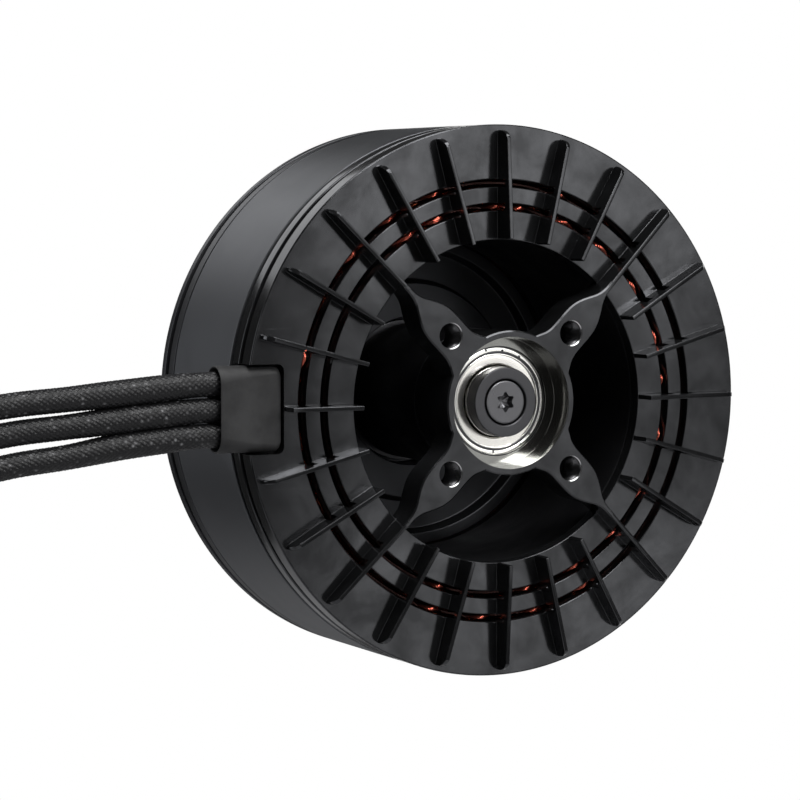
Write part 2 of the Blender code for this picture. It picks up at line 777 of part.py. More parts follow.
def shield(name, y, parent):
    low, high = y, y + SHIELD_THICKNESS
    inner, outer = SHIELD_BORE, SHIELD_OUTSIDE
    profile = [(inner, low), (outer, low), (outer, high), (inner, high)]
    to_object(name, turned(profile, BEARING_SEGMENTS), steel(), parent)


def shield_clip(name, y, parent):
    """The open spring ring that holds the front shield in its outer race."""
    start, end = CLIP_ARC
    outer = SHIELD_OUTSIDE - CLIP_INSET
    inner = outer - CLIP_WIDTH
    outline = arc((0, 0), outer, start, end, 20) + arc((0, 0), inner, end, start, 20)
    to_object(name, prism([outline], y, y + CLIP_THICKNESS), steel(), parent)


def bearing_spacer(parent):
    """The sleeve on the shaft that holds the two inner races apart."""
    front, back = FRONT_BEARING_Y + BEARING_WIDTH + GAP, REAR_BEARING_Y - GAP
    outer = SPACER_RADIUS
    profile = [(BEARING_BORE, front), (outer, front), (outer, back), (BEARING_BORE, back)]
    to_object("bearing_spacer", turned(profile, BEARING_SEGMENTS), steel(), parent)


def ball_set(name, front, parent):
    """The balls and the ribbon cage that spaces them, which orbit together."""
    middle = front + BEARING_WIDTH / 2
    inner, outer = BALL_CIRCLE - CAGE_HALF_THICKNESS, BALL_CIRCLE + CAGE_HALF_THICKNESS
    half = CAGE_HALF_WIDTH
    profile = [(inner, middle - half), (outer, middle - half), (outer, middle + half), (inner, middle + half)]
    cage = to_object(name, turned(profile, 2 * BALL_COUNT), steel(), parent)
    balls = []
    for angle in evenly(BALL_COUNT):
        ball = bmesh.new()
        bmesh.ops.create_uvsphere(ball, u_segments=6, v_segments=4, radius=BALL_RADIUS)
        x, z = polar(BALL_CIRCLE, angle)
        balls.append(moved(ball, Matrix.Translation((x, middle, z))))
    join(cage, to_object(f"guide_{name}", merged(balls)))


def preload_washer(parent):
    """The wave washer that pushes on the rear outer race."""
    inner, outer = WASHER_RADII
    middle = (TUBE_SHOULDER + REAR_BEARING_Y - WASHER_THICKNESS / 2) / 2
    shape = bmesh.new()
    rings = []
    for angle in evenly(WASHER_SEGMENTS):
        front = middle + WASHER_RISE * math.cos(WASHER_WAVES * angle) - WASHER_THICKNESS / 2
        back = front + WASHER_THICKNESS
        corners = []
        for radius, y in ((inner, front), (outer, front), (outer, back), (inner, back)):
            x, z = polar(radius, angle)
            corners.append(shape.verts.new((x, y, z)))
        rings.append(corners)
    for i in range(WASHER_SEGMENTS):
        here, there = rings[i - 1], rings[i]
        for j in range(4):
            shape.faces.new((here[j - 1], here[j], there[j], there[j - 1]))
    to_object("preload_washer", shape, steel(), parent)


# ---------------------------------------------------------------- rotor


def flux_ring(parent):
    profile = [
        (FLUX_RING_BORE, ROTOR_FRONT),
        (RIM_RADIUS, ROTOR_FRONT),
        (RIM_RADIUS, FLUX_RING_BACK),
        (FLUX_RING_BORE, FLUX_RING_BACK),
    ]
    to_object("flux_ring", turned(profile, ROUND_SEGMENTS), ring_steel(), parent)


def magnet_ring(parent):
    """42 flat bar magnets, bonded side by side into one ring."""
    inner = []
    half = MAGNET_HALF_PITCH * FULL_TURN / MAGNET_COUNT
    for angle in evenly(MAGNET_COUNT):
        inner.append(polar(MAGNET_INNER_RADIUS, angle - half))
        inner.append(polar(MAGNET_INNER_RADIUS, angle + half))
        inner.append(polar(MAGNET_OUTER_RADIUS - MAGNET_JOINT_DEPTH, angle + math.pi / MAGNET_COUNT))
    outer = circle(MAGNET_OUTER_RADIUS, MAGNET_COUNT)
    to_object("magnet_ring", prism([outer, inner], *MAGNETS), magnet(), parent)


def rotor_bell(parent):
    """The rotor's end: a beaded rim, a web with a pocket and air holes, and the propeller face."""
    front = FLUX_RING_BACK + GAP
    spigot_radius = FLUX_RING_BORE - GAP
    hub_front = SHAFT_FLANGE[1] + GAP
    bore, flange_bore = SHAFT_NOSE_RADIUS + GAP, SHAFT_FLANGE_RADIUS + OVERSHOOT
    profile = [
        (bore, hub_front),
        (flange_bore, hub_front),
        (flange_bore, BELL_HUB_FRONT),
        *BELL_INSIDE,
        (spigot_radius, BELL_INSIDE[-1][1]),
        (spigot_radius, front),
        (RIM_RADIUS, front),
        *BELL_RIM,
        (BELL_HUB_RADIUS, PROP_FACE - PROP_EDGE),
        (BELL_HUB_RADIUS - PROP_EDGE, PROP_FACE),
        (bore, PROP_FACE),
    ]
    bell = to_object("rotor_bell", turned(profile, ROUND_SEGMENTS), anodised(), parent)
    holes = []
    for angle in evenly(BELL_VENT_COUNT, math.pi / BELL_VENT_COUNT):
        x, z = polar(BELL_VENT_CIRCLE, angle)
        hole = prism([circle(BELL_VENT_RADIUS, SMALL_SEGMENTS)], BELL_HUB_FRONT, BELL_BACK)
        holes.append(moved(hole, Matrix.Translation((x, 0.0, z))))
    for angle in evenly(PROP_HOLE_COUNT):
        x, z = polar(PROP_HOLE_CIRCLE, angle)
        hole = prism([circle(PROP_HOLE_RADIUS, SMALL_SEGMENTS)], PROP_HOLE_END, PROP_FACE + OVERSHOOT)
        holes.append(moved(hole, Matrix.Translation((x, 0.0, z))))
    for angle in evenly(FLANGE_SCREW_COUNT, FLANGE_SCREW_START):
        x, z = polar(FLANGE_SCREW_CIRCLE, angle)
        profile = [
            (0.0, hub_front - OVERSHOOT),
            (FLANGE_SCREW_HOLE, hub_front - OVERSHOOT),
            (FLANGE_SCREW_HOLE, FLANGE_SCREW_SEAT),
            (FLANGE_SCREW_SINK, FLANGE_SCREW_SEAT),
            (FLANGE_SCREW_SINK, PROP_FACE + OVERSHOOT),
            (0.0, PROP_FACE + OVERSHOOT),
        ]
        holes.append(moved(turned(profile, SMALL_SEGMENTS, closed=False), Matrix.Translation((x, 0.0, z))))
    cut(bell, to_object("guide_bell_holes", merged(holes)))


def flange_screws(parent):
    for number, angle in enumerate(evenly(FLANGE_SCREW_COUNT, FLANGE_SCREW_START), 1):
        x, z = polar(FLANGE_SCREW_CIRCLE, angle)
        cap_screw(f"flange_screw_{number}", (x, FLANGE_SCREW_SEAT + GAP, z), FLANGE_SCREW, parent)


def shaft(parent):
    """The shaft: a journal for both bearings, a tapped front end, and a flange that the bell bolts to."""
    front = FRONT_BEARING_Y
    shoulder = REAR_BEARING_Y + BEARING_WIDTH + GAP
    tap_radius, tap_depth, tap_end = SHAFT_TAP
    flange_front, flange_back = SHAFT_FLANGE
    profile = [
        (0.0, front + tap_end),
        (tap_radius, front + tap_depth),
        (tap_radius, front),
        (SHAFT_RADIUS, front),
        (SHAFT_RADIUS, shoulder),
        (SHAFT_SHOULDER_RADIUS, shoulder),
        (SHAFT_SHOULDER_RADIUS, flange_front),
        (SHAFT_FLANGE_RADIUS, flange_front),
        (SHAFT_FLANGE_RADIUS, flange_back),
        (SHAFT_NOSE_RADIUS, flange_back),
        (SHAFT_NOSE_RADIUS, PROP_FACE - SHAFT_NOSE_INSET),
        (0.0, PROP_FACE - SHAFT_NOSE_INSET),
    ]
    obj = to_object("shaft", turned(profile, BEARING_SEGMENTS, closed=False), dark_steel(), parent)
    holes = []
    for angle in evenly(FLANGE_SCREW_COUNT, FLANGE_SCREW_START):
        x, z = polar(FLANGE_SCREW_CIRCLE, angle)
        outline = circle(SHAFT_HOLE_RADIUS, SMALL_SEGMENTS)
        hole = prism([outline], flange_front - OVERSHOOT, flange_back + OVERSHOOT)
        holes.append(moved(hole, Matrix.Translation((x, 0.0, z))))
    cut(obj, to_object("guide_shaft_holes", merged(holes)))


def shaft_collar(parent):
    """The collar clamped against the front inner race, countersunk for its screw."""
    front, back = COLLAR
    profile = [
        (COLLAR_SINK_RADIUS, front),
        (COLLAR_SINK_RADIUS, front + END_SCREW_RIM),
        (COLLAR_HOLE_RADIUS, front + END_SCREW_HEAD_DEPTH),
        (COLLAR_HOLE_RADIUS, back),
        (COLLAR_RADIUS, back),
        (COLLAR_RADIUS, front + COLLAR_EDGE),
        (COLLAR_RADIUS - COLLAR_EDGE, front),
    ]
    to_object("shaft_collar", turned(profile, BEARING_SEGMENTS), dark_steel(), parent)


def shaft_end_screw(parent):
    """The countersunk screw in the shaft's end, with a six-lobed socket."""
    front = COLLAR[0] + END_SCREW_SINK
    profile = [
        (0.0, front),
        (END_SCREW_HEAD_RADIUS, front),
        (END_SCREW_HEAD_RADIUS, front + END_SCREW_RIM),
        (END_SCREW_RADIUS, front + END_SCREW_HEAD_DEPTH),
        (END_SCREW_RADIUS, END_SCREW_END),
        (0.0, END_SCREW_END),
    ]
    shape = turned(profile, BEARING_SEGMENTS, closed=False)
    screw = to_object("shaft_end_screw", shape, dark_steel(), parent)
    outline = []
    for angle in evenly(SOCKET_POINTS):
        radius = SOCKET_RADIUS + SOCKET_LOBE * math.cos(SOCKET_LOBE_COUNT * angle)
        outline.append(polar(radius, angle + math.pi / 2))
    cut(screw, to_object("guide_socket", prism([outline], front - OVERSHOOT, front + SOCKET_DEPTH)))


# ---------------------------------------------------------------- boot and leads


def along_leads(shape):
    """Takes a prism along +Y, with its section in XZ, to one along -X with its section in YZ."""
    return moved(shape, Matrix.Rotation(math.pi / 2, 4, "Z"))


def lead_boot(parent):
    """The rubber sleeve that carries the leads through the rim, with a collar behind the plate."""
    outside = rounded_rectangle((BOOT_Y, 0.0), BOOT_HALF_THICKNESS, BOOT_HALF_HEIGHT, BOOT_CORNER)
    boot_shape = along_leads(prism([outside], NOTCH_END + GAP, BOOT_MOUTH))
    boot = to_object("lead_boot", boot_shape, rubber(), parent)
    pocket_half = LEAD_RADIUS + GAP
    pocket = rounded_rectangle((BOOT_Y, 0.0), pocket_half, LEAD_PITCH + pocket_half, BOOT_POCKET_CORNER)
    pocket_shape = along_leads(prism([pocket], BOOT_MOUTH - BOOT_POCKET_DEPTH, BOOT_MOUTH + OVERSHOOT))
    cut(boot, to_object("guide_pocket", pocket_shape))
    collar_middle = (PLATE_BACK + GAP + BOOT_Y + BOOT_HALF_THICKNESS) / 2
    collar_half = BOOT_Y + BOOT_HALF_THICKNESS - collar_middle
    middle = (collar_middle, 0.0)
    collar = rounded_rectangle(middle, collar_half, BOOT_COLLAR_HALF_HEIGHT, BOOT_COLLAR_CORNER)
    collar_shape = along_leads(prism([collar], NOTCH_END + BOOT_COLLAR_START, NOTCH_END + BOOT_COLLAR_END))
    join(boot, to_object("guide_boot_collar", collar_shape))


def lead_joints(parent):
    """The crimped joints between each phase's winding and its lead, behind the plate."""
    end = NOTCH_END - GAP
    for number, phase in enumerate(LEAD_ROUTES):
        outline = circle(LEAD_JOINT_RADIUS, SMALL_SEGMENTS, (LEAD_JOINT_Y, LEAD_PITCH * (1 - number)))
        shape = along_leads(prism([outline], end - LEAD_JOINT_LENGTH, end))
        to_object(f"lead_joint_{phase}", shape, copper(), parent)


def smooth_path(points, step):
    """Points about step apart on the Catmull-Rom curve through these points, both ends included."""
    path = [Vector(p) for p in points]
    path = [2 * path[0] - path[1], *path, 2 * path[-1] - path[-2]]
    fine = []
    for i in range(1, len(path) - 2):
        p0, p1, p2, p3 = path[i - 1 : i + 3]
        for k in range(CURVE_STEPS):
            t = k / CURVE_STEPS
            fine.append(
                0.5
                * (
                    2 * p1
                    + (p2 - p0) * t
                    + (2 * p0 - 5 * p1 + 4 * p2 - p3) * t**2
                    + (3 * p1 - p0 - 3 * p2 + p3) * t**3
                )
            )
    fine.append(path[-2])
    travelled = [0.0]
    for here, there in zip(fine, fine[1:]):
        travelled.append(travelled[-1] + (there - here).length)
    count = round(travelled[-1] / step)
    found, i = [], 0
    for n in range(count + 1):
        wanted = travelled[-1] * n / count
        while i < len(fine) - 2 and travelled[i + 1] < wanted:
            i += 1
        share = (wanted - travelled[i]) / (travelled[i + 1] - travelled[i])
        found.append(fine[i].lerp(fine[i + 1], share))
    return found


def phase_lead(phase, parent):
    """A braided lead, from the pocket of the boot to its hanging end."""
    path = smooth_path([[MM * c for c in point] for point in LEAD_ROUTES[phase]], LEAD_STEP)
    data = bpy.data.curves.new(f"phase_lead_{phase}", "CURVE")
    data.dimensions = "3D"
    data.bevel_depth = LEAD_RADIUS
    data.bevel_resolution = 2
    data.use_fill_caps = True
    spline = data.splines.new("POLY")
    spline.points.add(len(path) - 1)
    for point, place in zip(spline.points, path):
        point.co = (*place, 1.0)
    data.materials.append(braid())
    add_object(f"phase_lead_{phase}", data, parent)


def plug(phase, parent):
    """The heat-shrink sleeve and the bullet plug on the end of a lead, which hang straight down."""
    x, y, z = (MM * c for c in LEAD_ROUTES[phase][-1])
    upright = Matrix.Translation((x, y, z)) @ Matrix.Rotation(math.pi / 2, 4, "X")
    lead_hole, plug_hole = LEAD_RADIUS + GAP, PLUG_RADIUS + GAP
    top, low = SLEEVE_OVERLAP, SLEEVE_OVERLAP - SLEEVE_LENGTH
    sleeve_profile = [
        (lead_hole, top),
        (SLEEVE_RADIUS - SLEEVE_EDGE, top),
        (SLEEVE_RADIUS, 0.0),
        (SLEEVE_RADIUS, low),
        (plug_hole, low),
        (plug_hole, -PLUG_DEPTH),
        (lead_hole, -PLUG_DEPTH),
    ]
    sleeve = moved(turned(sleeve_profile, SMALL_SEGMENTS), upright)
    to_object(f"plug_sleeve_{phase}", sleeve, shrink(), parent)
    cup = -PLUG_DEPTH - GAP
    tip = cup - PLUG_LENGTH
    profile = [
        (0.0, cup),
        (PLUG_RADIUS, cup),
        *((radius, tip + height) for height, radius in (PLUG_NECK, PLUG_WAIST, PLUG_BULGE)),
        (PLUG_TIP_RADIUS, tip),
        (0.0, tip),
    ]
    bullet = moved(turned(profile, SMALL_SEGMENTS, closed=False), upright)
    to_object(f"bullet_plug_{phase}", bullet, gold(), parent)


def build():
    clear_scene()
    stator = add_empty("stator_frame")
    rotor = add_empty("rotor_axis")
    front_cage = add_empty("front_cage_axis")
    rear_cage = add_empty("rear_cage_axis")

    stator_base(stator)
    bearing_tube(stator)
    stator_carrier(stator)
    carrier_screws(stator)
    stator_core(stator)
    for phase in LINKS:
        winding(phase, stator)

    for place, front in (("front", FRONT_BEARING_Y), ("rear", REAR_BEARING_Y)):
        outer_race(f"{place}_bearing_outer_race", front, stator)
        back = front + BEARING_WIDTH
        shield(f"{place}_bearing_front_shield", front + SHIELD_INSET, stator)
        shield(f"{place}_bearing_rear_shield", back - SHIELD_INSET - SHIELD_THICKNESS, stator)
        inner_race(f"{place}_bearing_inner_race", front, rotor)
    shield_clip("front_shield_clip", FRONT_BEARING_Y + CLIP_INSET, stator)
    ball_set("front_bearing_balls", FRONT_BEARING_Y, front_cage)
    ball_set("rear_bearing_balls", REAR_BEARING_Y, rear_cage)
    preload_washer(stator)

    flux_ring(rotor)
    magnet_ring(rotor)
    rotor_bell(rotor)
    shaft(rotor)
    flange_screws(rotor)
    bearing_spacer(rotor)
    shaft_collar(rotor)
    shaft_end_screw(rotor)

    lead_boot(stator)
    lead_joints(stator)
    for phase in LEAD_ROUTES:
        phase_lead(phase, stator)
        plug(phase, stator)


build()
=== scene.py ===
"""Looks of the brushless outrunner motor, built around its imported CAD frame.

Sizes in the functions below are in millimetres, and the meshes are made in metres. The motor turns about
the Y axis, the mounting face looks towards -Y, and angles are counted from +X towards +Z.
"""

import math

import bmesh
import bpy
import numpy as np
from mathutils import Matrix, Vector


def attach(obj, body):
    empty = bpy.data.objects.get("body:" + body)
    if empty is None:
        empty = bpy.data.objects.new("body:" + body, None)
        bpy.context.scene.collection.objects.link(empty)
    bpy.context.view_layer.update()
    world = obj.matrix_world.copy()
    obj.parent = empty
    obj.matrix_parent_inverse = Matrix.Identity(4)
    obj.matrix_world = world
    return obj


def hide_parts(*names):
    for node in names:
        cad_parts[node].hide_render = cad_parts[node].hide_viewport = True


MM = 0.001
TAU = 2 * math.pi

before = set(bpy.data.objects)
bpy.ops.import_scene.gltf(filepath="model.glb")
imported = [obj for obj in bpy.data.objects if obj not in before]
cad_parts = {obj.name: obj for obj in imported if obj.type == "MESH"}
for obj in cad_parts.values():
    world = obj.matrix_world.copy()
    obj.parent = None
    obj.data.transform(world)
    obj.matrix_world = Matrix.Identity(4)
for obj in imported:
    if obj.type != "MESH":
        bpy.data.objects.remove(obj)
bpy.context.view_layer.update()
scene = bpy.context.scene
scene.view_settings.view_transform = "Standard"

# ------------ camera

TARGET = Vector((-0.0349, 0.0, 0.0019))
AZIMUTH, ELEVATION = math.radians(-26.92), math.radians(3.90)
DISTANCE = 0.797
LENS, SENSOR = 131.3, 36.0


def make_camera():
    data = bpy.data.cameras.new("camera")
    data.lens, data.sensor_width = LENS, SENSOR
    data.clip_start, data.clip_end = 0.02, 20.0
    camera = bpy.data.objects.new("camera", data)
    flat = math.cos(ELEVATION)
    back = Vector((math.sin(AZIMUTH) * flat, -math.cos(AZIMUTH) * flat, math.sin(ELEVATION)))
    camera.location = TARGET + DISTANCE * back
    camera.rotation_euler = back.to_track_quat("Z", "Y").to_euler()
    scene.collection.objects.link(camera)
    scene.camera = camera


make_camera()

# ------------ mesh helpers


class Soup:
    """Vertices in millimetres and faces of any sizes, gathered from many shapes."""

    def __init__(self):
        self.points, self.faces, self.count = [], [], 0

    def add(self, points, *faces):
        points = np.asarray(points, float).reshape(-1, 3)
        self.points.append(points)
        self.faces += [np.asarray(f, np.int64) + self.count for f in faces if len(f)]
        self.count += len(points)
        return self

    def add_turned(self, other, angles):
        """Adds copies of another soup, each turned by one of the angles about the motor's axis."""
        points = np.concatenate(other.points)
        for angle in angles:
            c, s = math.cos(angle), math.sin(angle)
            x, y, z = points.T
            start = self.count
            self.points.append(np.stack([x * c - z * s, y, x * s + z * c], 1))
            self.faces += [f + start for f in other.faces]
            self.count += len(points)
        return self

    def moved(self, dx, dy, dz):
        self.points = [p + np.array([dx, dy, dz]) for p in self.points]
        return self

    def mesh(self, name):
        mesh = bpy.data.meshes.new(name)
        points = np.concatenate(self.points) * MM
        loops = np.concatenate([f.ravel() for f in self.faces])
        sizes = np.concatenate([np.full(len(f), f.shape[1]) for f in self.faces])
        mesh.vertices.add(len(points))
        mesh.vertices.foreach_set("co", points.astype(np.float32).ravel())
        mesh.loops.add(len(loops))
        mesh.loops.foreach_set("vertex_index", loops.astype(np.int32))
        mesh.polygons.add(len(sizes))
        starts = np.concatenate([[0], np.cumsum(sizes)[:-1]])
        mesh.polygons.foreach_set("loop_start", starts.astype(np.int32))
        mesh.update(calc_edges=True)
        mesh.validate()
        return mesh


def quads(rows, columns, wrap_rows, wrap_columns):
    """The faces of a grid of points, numbered row by row."""
    i = np.arange(rows if wrap_rows else rows - 1)
    j = np.arange(columns if wrap_columns else columns - 1)
    i, j = np.meshgrid(i, j, indexing="ij")
    below, beside = (i + 1) % rows, (j + 1) % columns
    corners = [i * columns + j, i * columns + beside, below * columns + beside, below * columns + j]
    return np.stack(corners, -1).reshape(-1, 4)


def skin(loops):
    """Joins loops of points, one after another, and caps the first and the last."""
    rows, n = len(loops), len(loops[0])
    caps = [np.arange(n)[None, ::-1], (np.arange(n) + (rows - 1) * n)[None]]
    return Soup().add(loops, quads(rows, n, False, True), *caps)


def rounded(profile, radius, steps=3, closed=True):
    """A profile of (r, y) whose corners are rounded, by less where an edge is short."""
    points = [np.array(p, float) for p in profile]
    found = []
    for i, corner in enumerate(points):
        if not closed and i in (0, len(points) - 1):
            found.append(corner)
            continue
        before, after = points[i - 1] - corner, points[(i + 1) % len(points)] - corner
        reach = min(radius, 0.45 * np.linalg.norm(before), 0.45 * np.linalg.norm(after))
        start = corner + before / np.linalg.norm(before) * reach
        end = corner + after / np.linalg.norm(after) * reach
        for k in range(steps + 1):
            t = k / steps
            found.append((1 - t) ** 2 * start + 2 * t * (1 - t) * corner + t * t * end)
    return [tuple(p) for p in found]


def lathe(rows, n=160, closed=True, span=TAU, start=0.0):
    """Turns rows of (radius, y) about the Y axis. A radius may be a function of the angle."""
    full = span == TAU
    angles = start + span * np.arange(n if full else n + 1) / n
    grid = []
    for radius, y in rows:
        reach = radius(angles) if callable(radius) else np.full(len(angles), radius)
        grid.append(np.stack([reach * np.cos(angles), np.full(len(angles), y), reach * np.sin(angles)], 1))
    soup = Soup().add(np.concatenate(grid), quads(len(rows), len(angles), closed, full))
    if closed and not full:
        columns = len(angles)
        first = np.arange(len(rows)) * columns
        soup.faces += [first[None, :], (first + columns - 1)[None, ::-1]]
    return soup


def tube(path, radius, sides=8, closed=False):
    """A round tube along a path, with a frame that doesn't twist."""
    path = np.asarray(path, float)
    n = len(path)
    if closed:
        ahead = np.roll(path, -1, 0) - np.roll(path, 1, 0)
    else:
        ahead = np.gradient(path, axis=0)
    ahead /= np.linalg.norm(ahead, axis=1)[:, None]
    side = np.zeros_like(path)
    first = np.cross(ahead[0], [0.0, 1.0, 0.0])
    if np.linalg.norm(first) < 1e-3:
        first = np.cross(ahead[0], [0.0, 0.0, 1.0])
    side[0] = first / np.linalg.norm(first)
    for i in range(1, n):
        kept = side[i - 1] - ahead[i] * side[i - 1].dot(ahead[i])
        side[i] = kept / np.linalg.norm(kept)
    up = np.cross(ahead, side)
    a = TAU * np.arange(sides) / sides
    ring = side[:, None] * np.cos(a)[None, :, None] + up[:, None] * np.sin(a)[None, :, None]
    points = path[:, None] + radius * ring
    faces = [quads(n, sides, closed, True)]
    if not closed:
        faces += [np.arange(sides)[None, ::-1], (np.arange(sides) + (n - 1) * sides)[None]]
    return Soup().add(points.reshape(-1, 3), *faces)


def smooth_curve(points, per_span=12, closed=False):
    """Points on the Catmull-Rom curve through these points."""
    p = np.asarray(points, float)
    if closed:
        p = np.concatenate([p[-1:], p, p[:2]])
    else:
        p = np.concatenate([2 * p[:1] - p[1:2], p, 2 * p[-1:] - p[-2:-1]])
    t = (np.arange(per_span) / per_span)[:, None]
    found = []
    for i in range(1, len(p) - 2):
        a, b, c, d = p[i - 1 : i + 3]
        square, cube = 2 * a - 5 * b + 4 * c - d, 3 * b - a - 3 * c + d
        found.append(0.5 * (2 * b + (c - a) * t + square * t**2 + cube * t**3))
    if not closed:
        found.append(p[-2:-1])
    return np.concatenate(found)


def offset_loop(loop, distance):
    """A closed outline in the plane, moved inwards by a distance."""
    ahead = np.roll(loop, -1, 0) - np.roll(loop, 1, 0)
    ahead /= np.linalg.norm(ahead, axis=1)[:, None]
    normal = np.stack([ahead[:, 1], -ahead[:, 0]], 1)
    x, z = loop.T
    area = 0.5 * np.sum(x * np.roll(z, -1) - z * np.roll(x, -1))
    return loop - math.copysign(distance, area) * normal


def plate_shape(outline, holes, front, back, edge, flat=False, hole_edge=1.0):
    """A plate between two values of y, from an outline and holes in (x, z).

    Its edges are rounded, or chamfered at the front if flat. The holes' edges are hole_edge times as large.
    """
    levels = ((edge, front), (0.3 * edge, front + 0.3 * edge), (0.0, front + edge))
    if flat:
        levels = ((edge, front), (0.0, front + edge), (0.0, front + edge + 0.3))
    levels += ((0.0, back - edge), (0.3 * edge, back - 0.3 * edge), (edge, back))
    soup = Soup()
    caps = [[], []]
    for number, loop in enumerate([outline, *holes]):
        loop = np.asarray(loop, float)
        rows = [offset_loop(loop, inset if number == 0 else -inset * hole_edge) for inset, _ in levels]
        n = len(loop)
        points = [np.stack([row[:, 0], np.full(n, y), row[:, 1]], 1) for row, (_, y) in zip(rows, levels)]
        start = soup.count
        soup.add(np.concatenate(points), quads(len(levels), n, False, True))
        caps[0].append(start + np.arange(n))
        caps[1].append(start + (len(levels) - 1) * n + np.arange(n))
    points = np.concatenate(soup.points)
    for loops in caps:
        cap = bmesh.new()
        numbers = np.concatenate(loops)
        verts = [cap.verts.new(points[k]) for k in numbers]
        edges, start = [], 0
        for loop in loops:
            ring = verts[start : start + len(loop)]
            edges += [cap.edges.new((ring[i - 1], ring[i])) for i in range(len(ring))]
            start += len(loop)
        cap.verts.index_update()
        bmesh.ops.triangle_fill(cap, edges=edges, use_beauty=True, use_dissolve=False)
        cap.verts.index_update()
        soup.faces.append(np.array([[numbers[v.index] for v in f.verts] for f in cap.faces]))
        cap.free()
    return soup


def clean(mesh, dissolve):
    """Joins points that lie together, and turns every face outwards."""
    shape = bmesh.new()
    shape.from_mesh(mesh)
    bmesh.ops.remove_doubles(shape, verts=shape.verts, dist=1e-7)
    if dissolve:
        bmesh.ops.dissolve_degenerate(shape, edges=shape.edges, dist=1e-7)
    bmesh.ops.recalc_face_normals(shape, faces=shape.faces)
    shape.to_mesh(mesh)
    shape.free()


def piece(name, soup, body, look, nodes=(), smooth=50, cutter=None, weighted=True):
    """Makes a soup a piece of the object, which rides on a body and may replace CAD nodes."""
    obj = bpy.data.objects.new(name, soup.mesh(name))
    scene.collection.objects.link(obj)
    if cutter:
        cut_away(obj, cutter)
    mesh = obj.data
    clean(mesh, dissolve=True)
    mesh.shade_smooth()
    mesh.set_sharp_from_angle(angle=math.radians(smooth))
    mesh.materials.append(look)
    if weighted:
        flat = obj.modifiers.new("flat faces", "WEIGHTED_NORMAL")
        flat.keep_sharp, flat.weight = True, 90
    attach(obj, body)
    if nodes:
        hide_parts(*nodes)
    return obj


def cut_away(obj, cutter):
    """Subtracts one soup from obj."""
    other = bpy.data.objects.new("cutter", cutter.mesh("cutter"))
    scene.collection.objects.link(other)
    clean(obj.data, dissolve=False)
    clean(other.data, dissolve=False)
    modifier = obj.modifiers.new("cut", "BOOLEAN")
    modifier.operation, modifier.solver, modifier.object = "DIFFERENCE", "EXACT", other
    bpy.context.view_layer.update()
    result = bpy.data.meshes.new_from_object(obj.evaluated_get(bpy.context.evaluated_depsgraph_get()))
    obj.modifiers.clear()
    obj.data = result
    bpy.data.objects.remove(other)


def circle(radius, n, centre=(0.0, 0.0)):
    a = TAU * np.arange(n) / n
    return np.stack([centre[0] + radius * np.cos(a), centre[1] + radius * np.sin(a)], 1)


def polar(radius, angle):
    return radius * math.cos(angle), radius * math.sin(angle)


def evenly(count, start=0.0):
    return [start + TAU * i / count for i in range(count)]


# ------------ materials


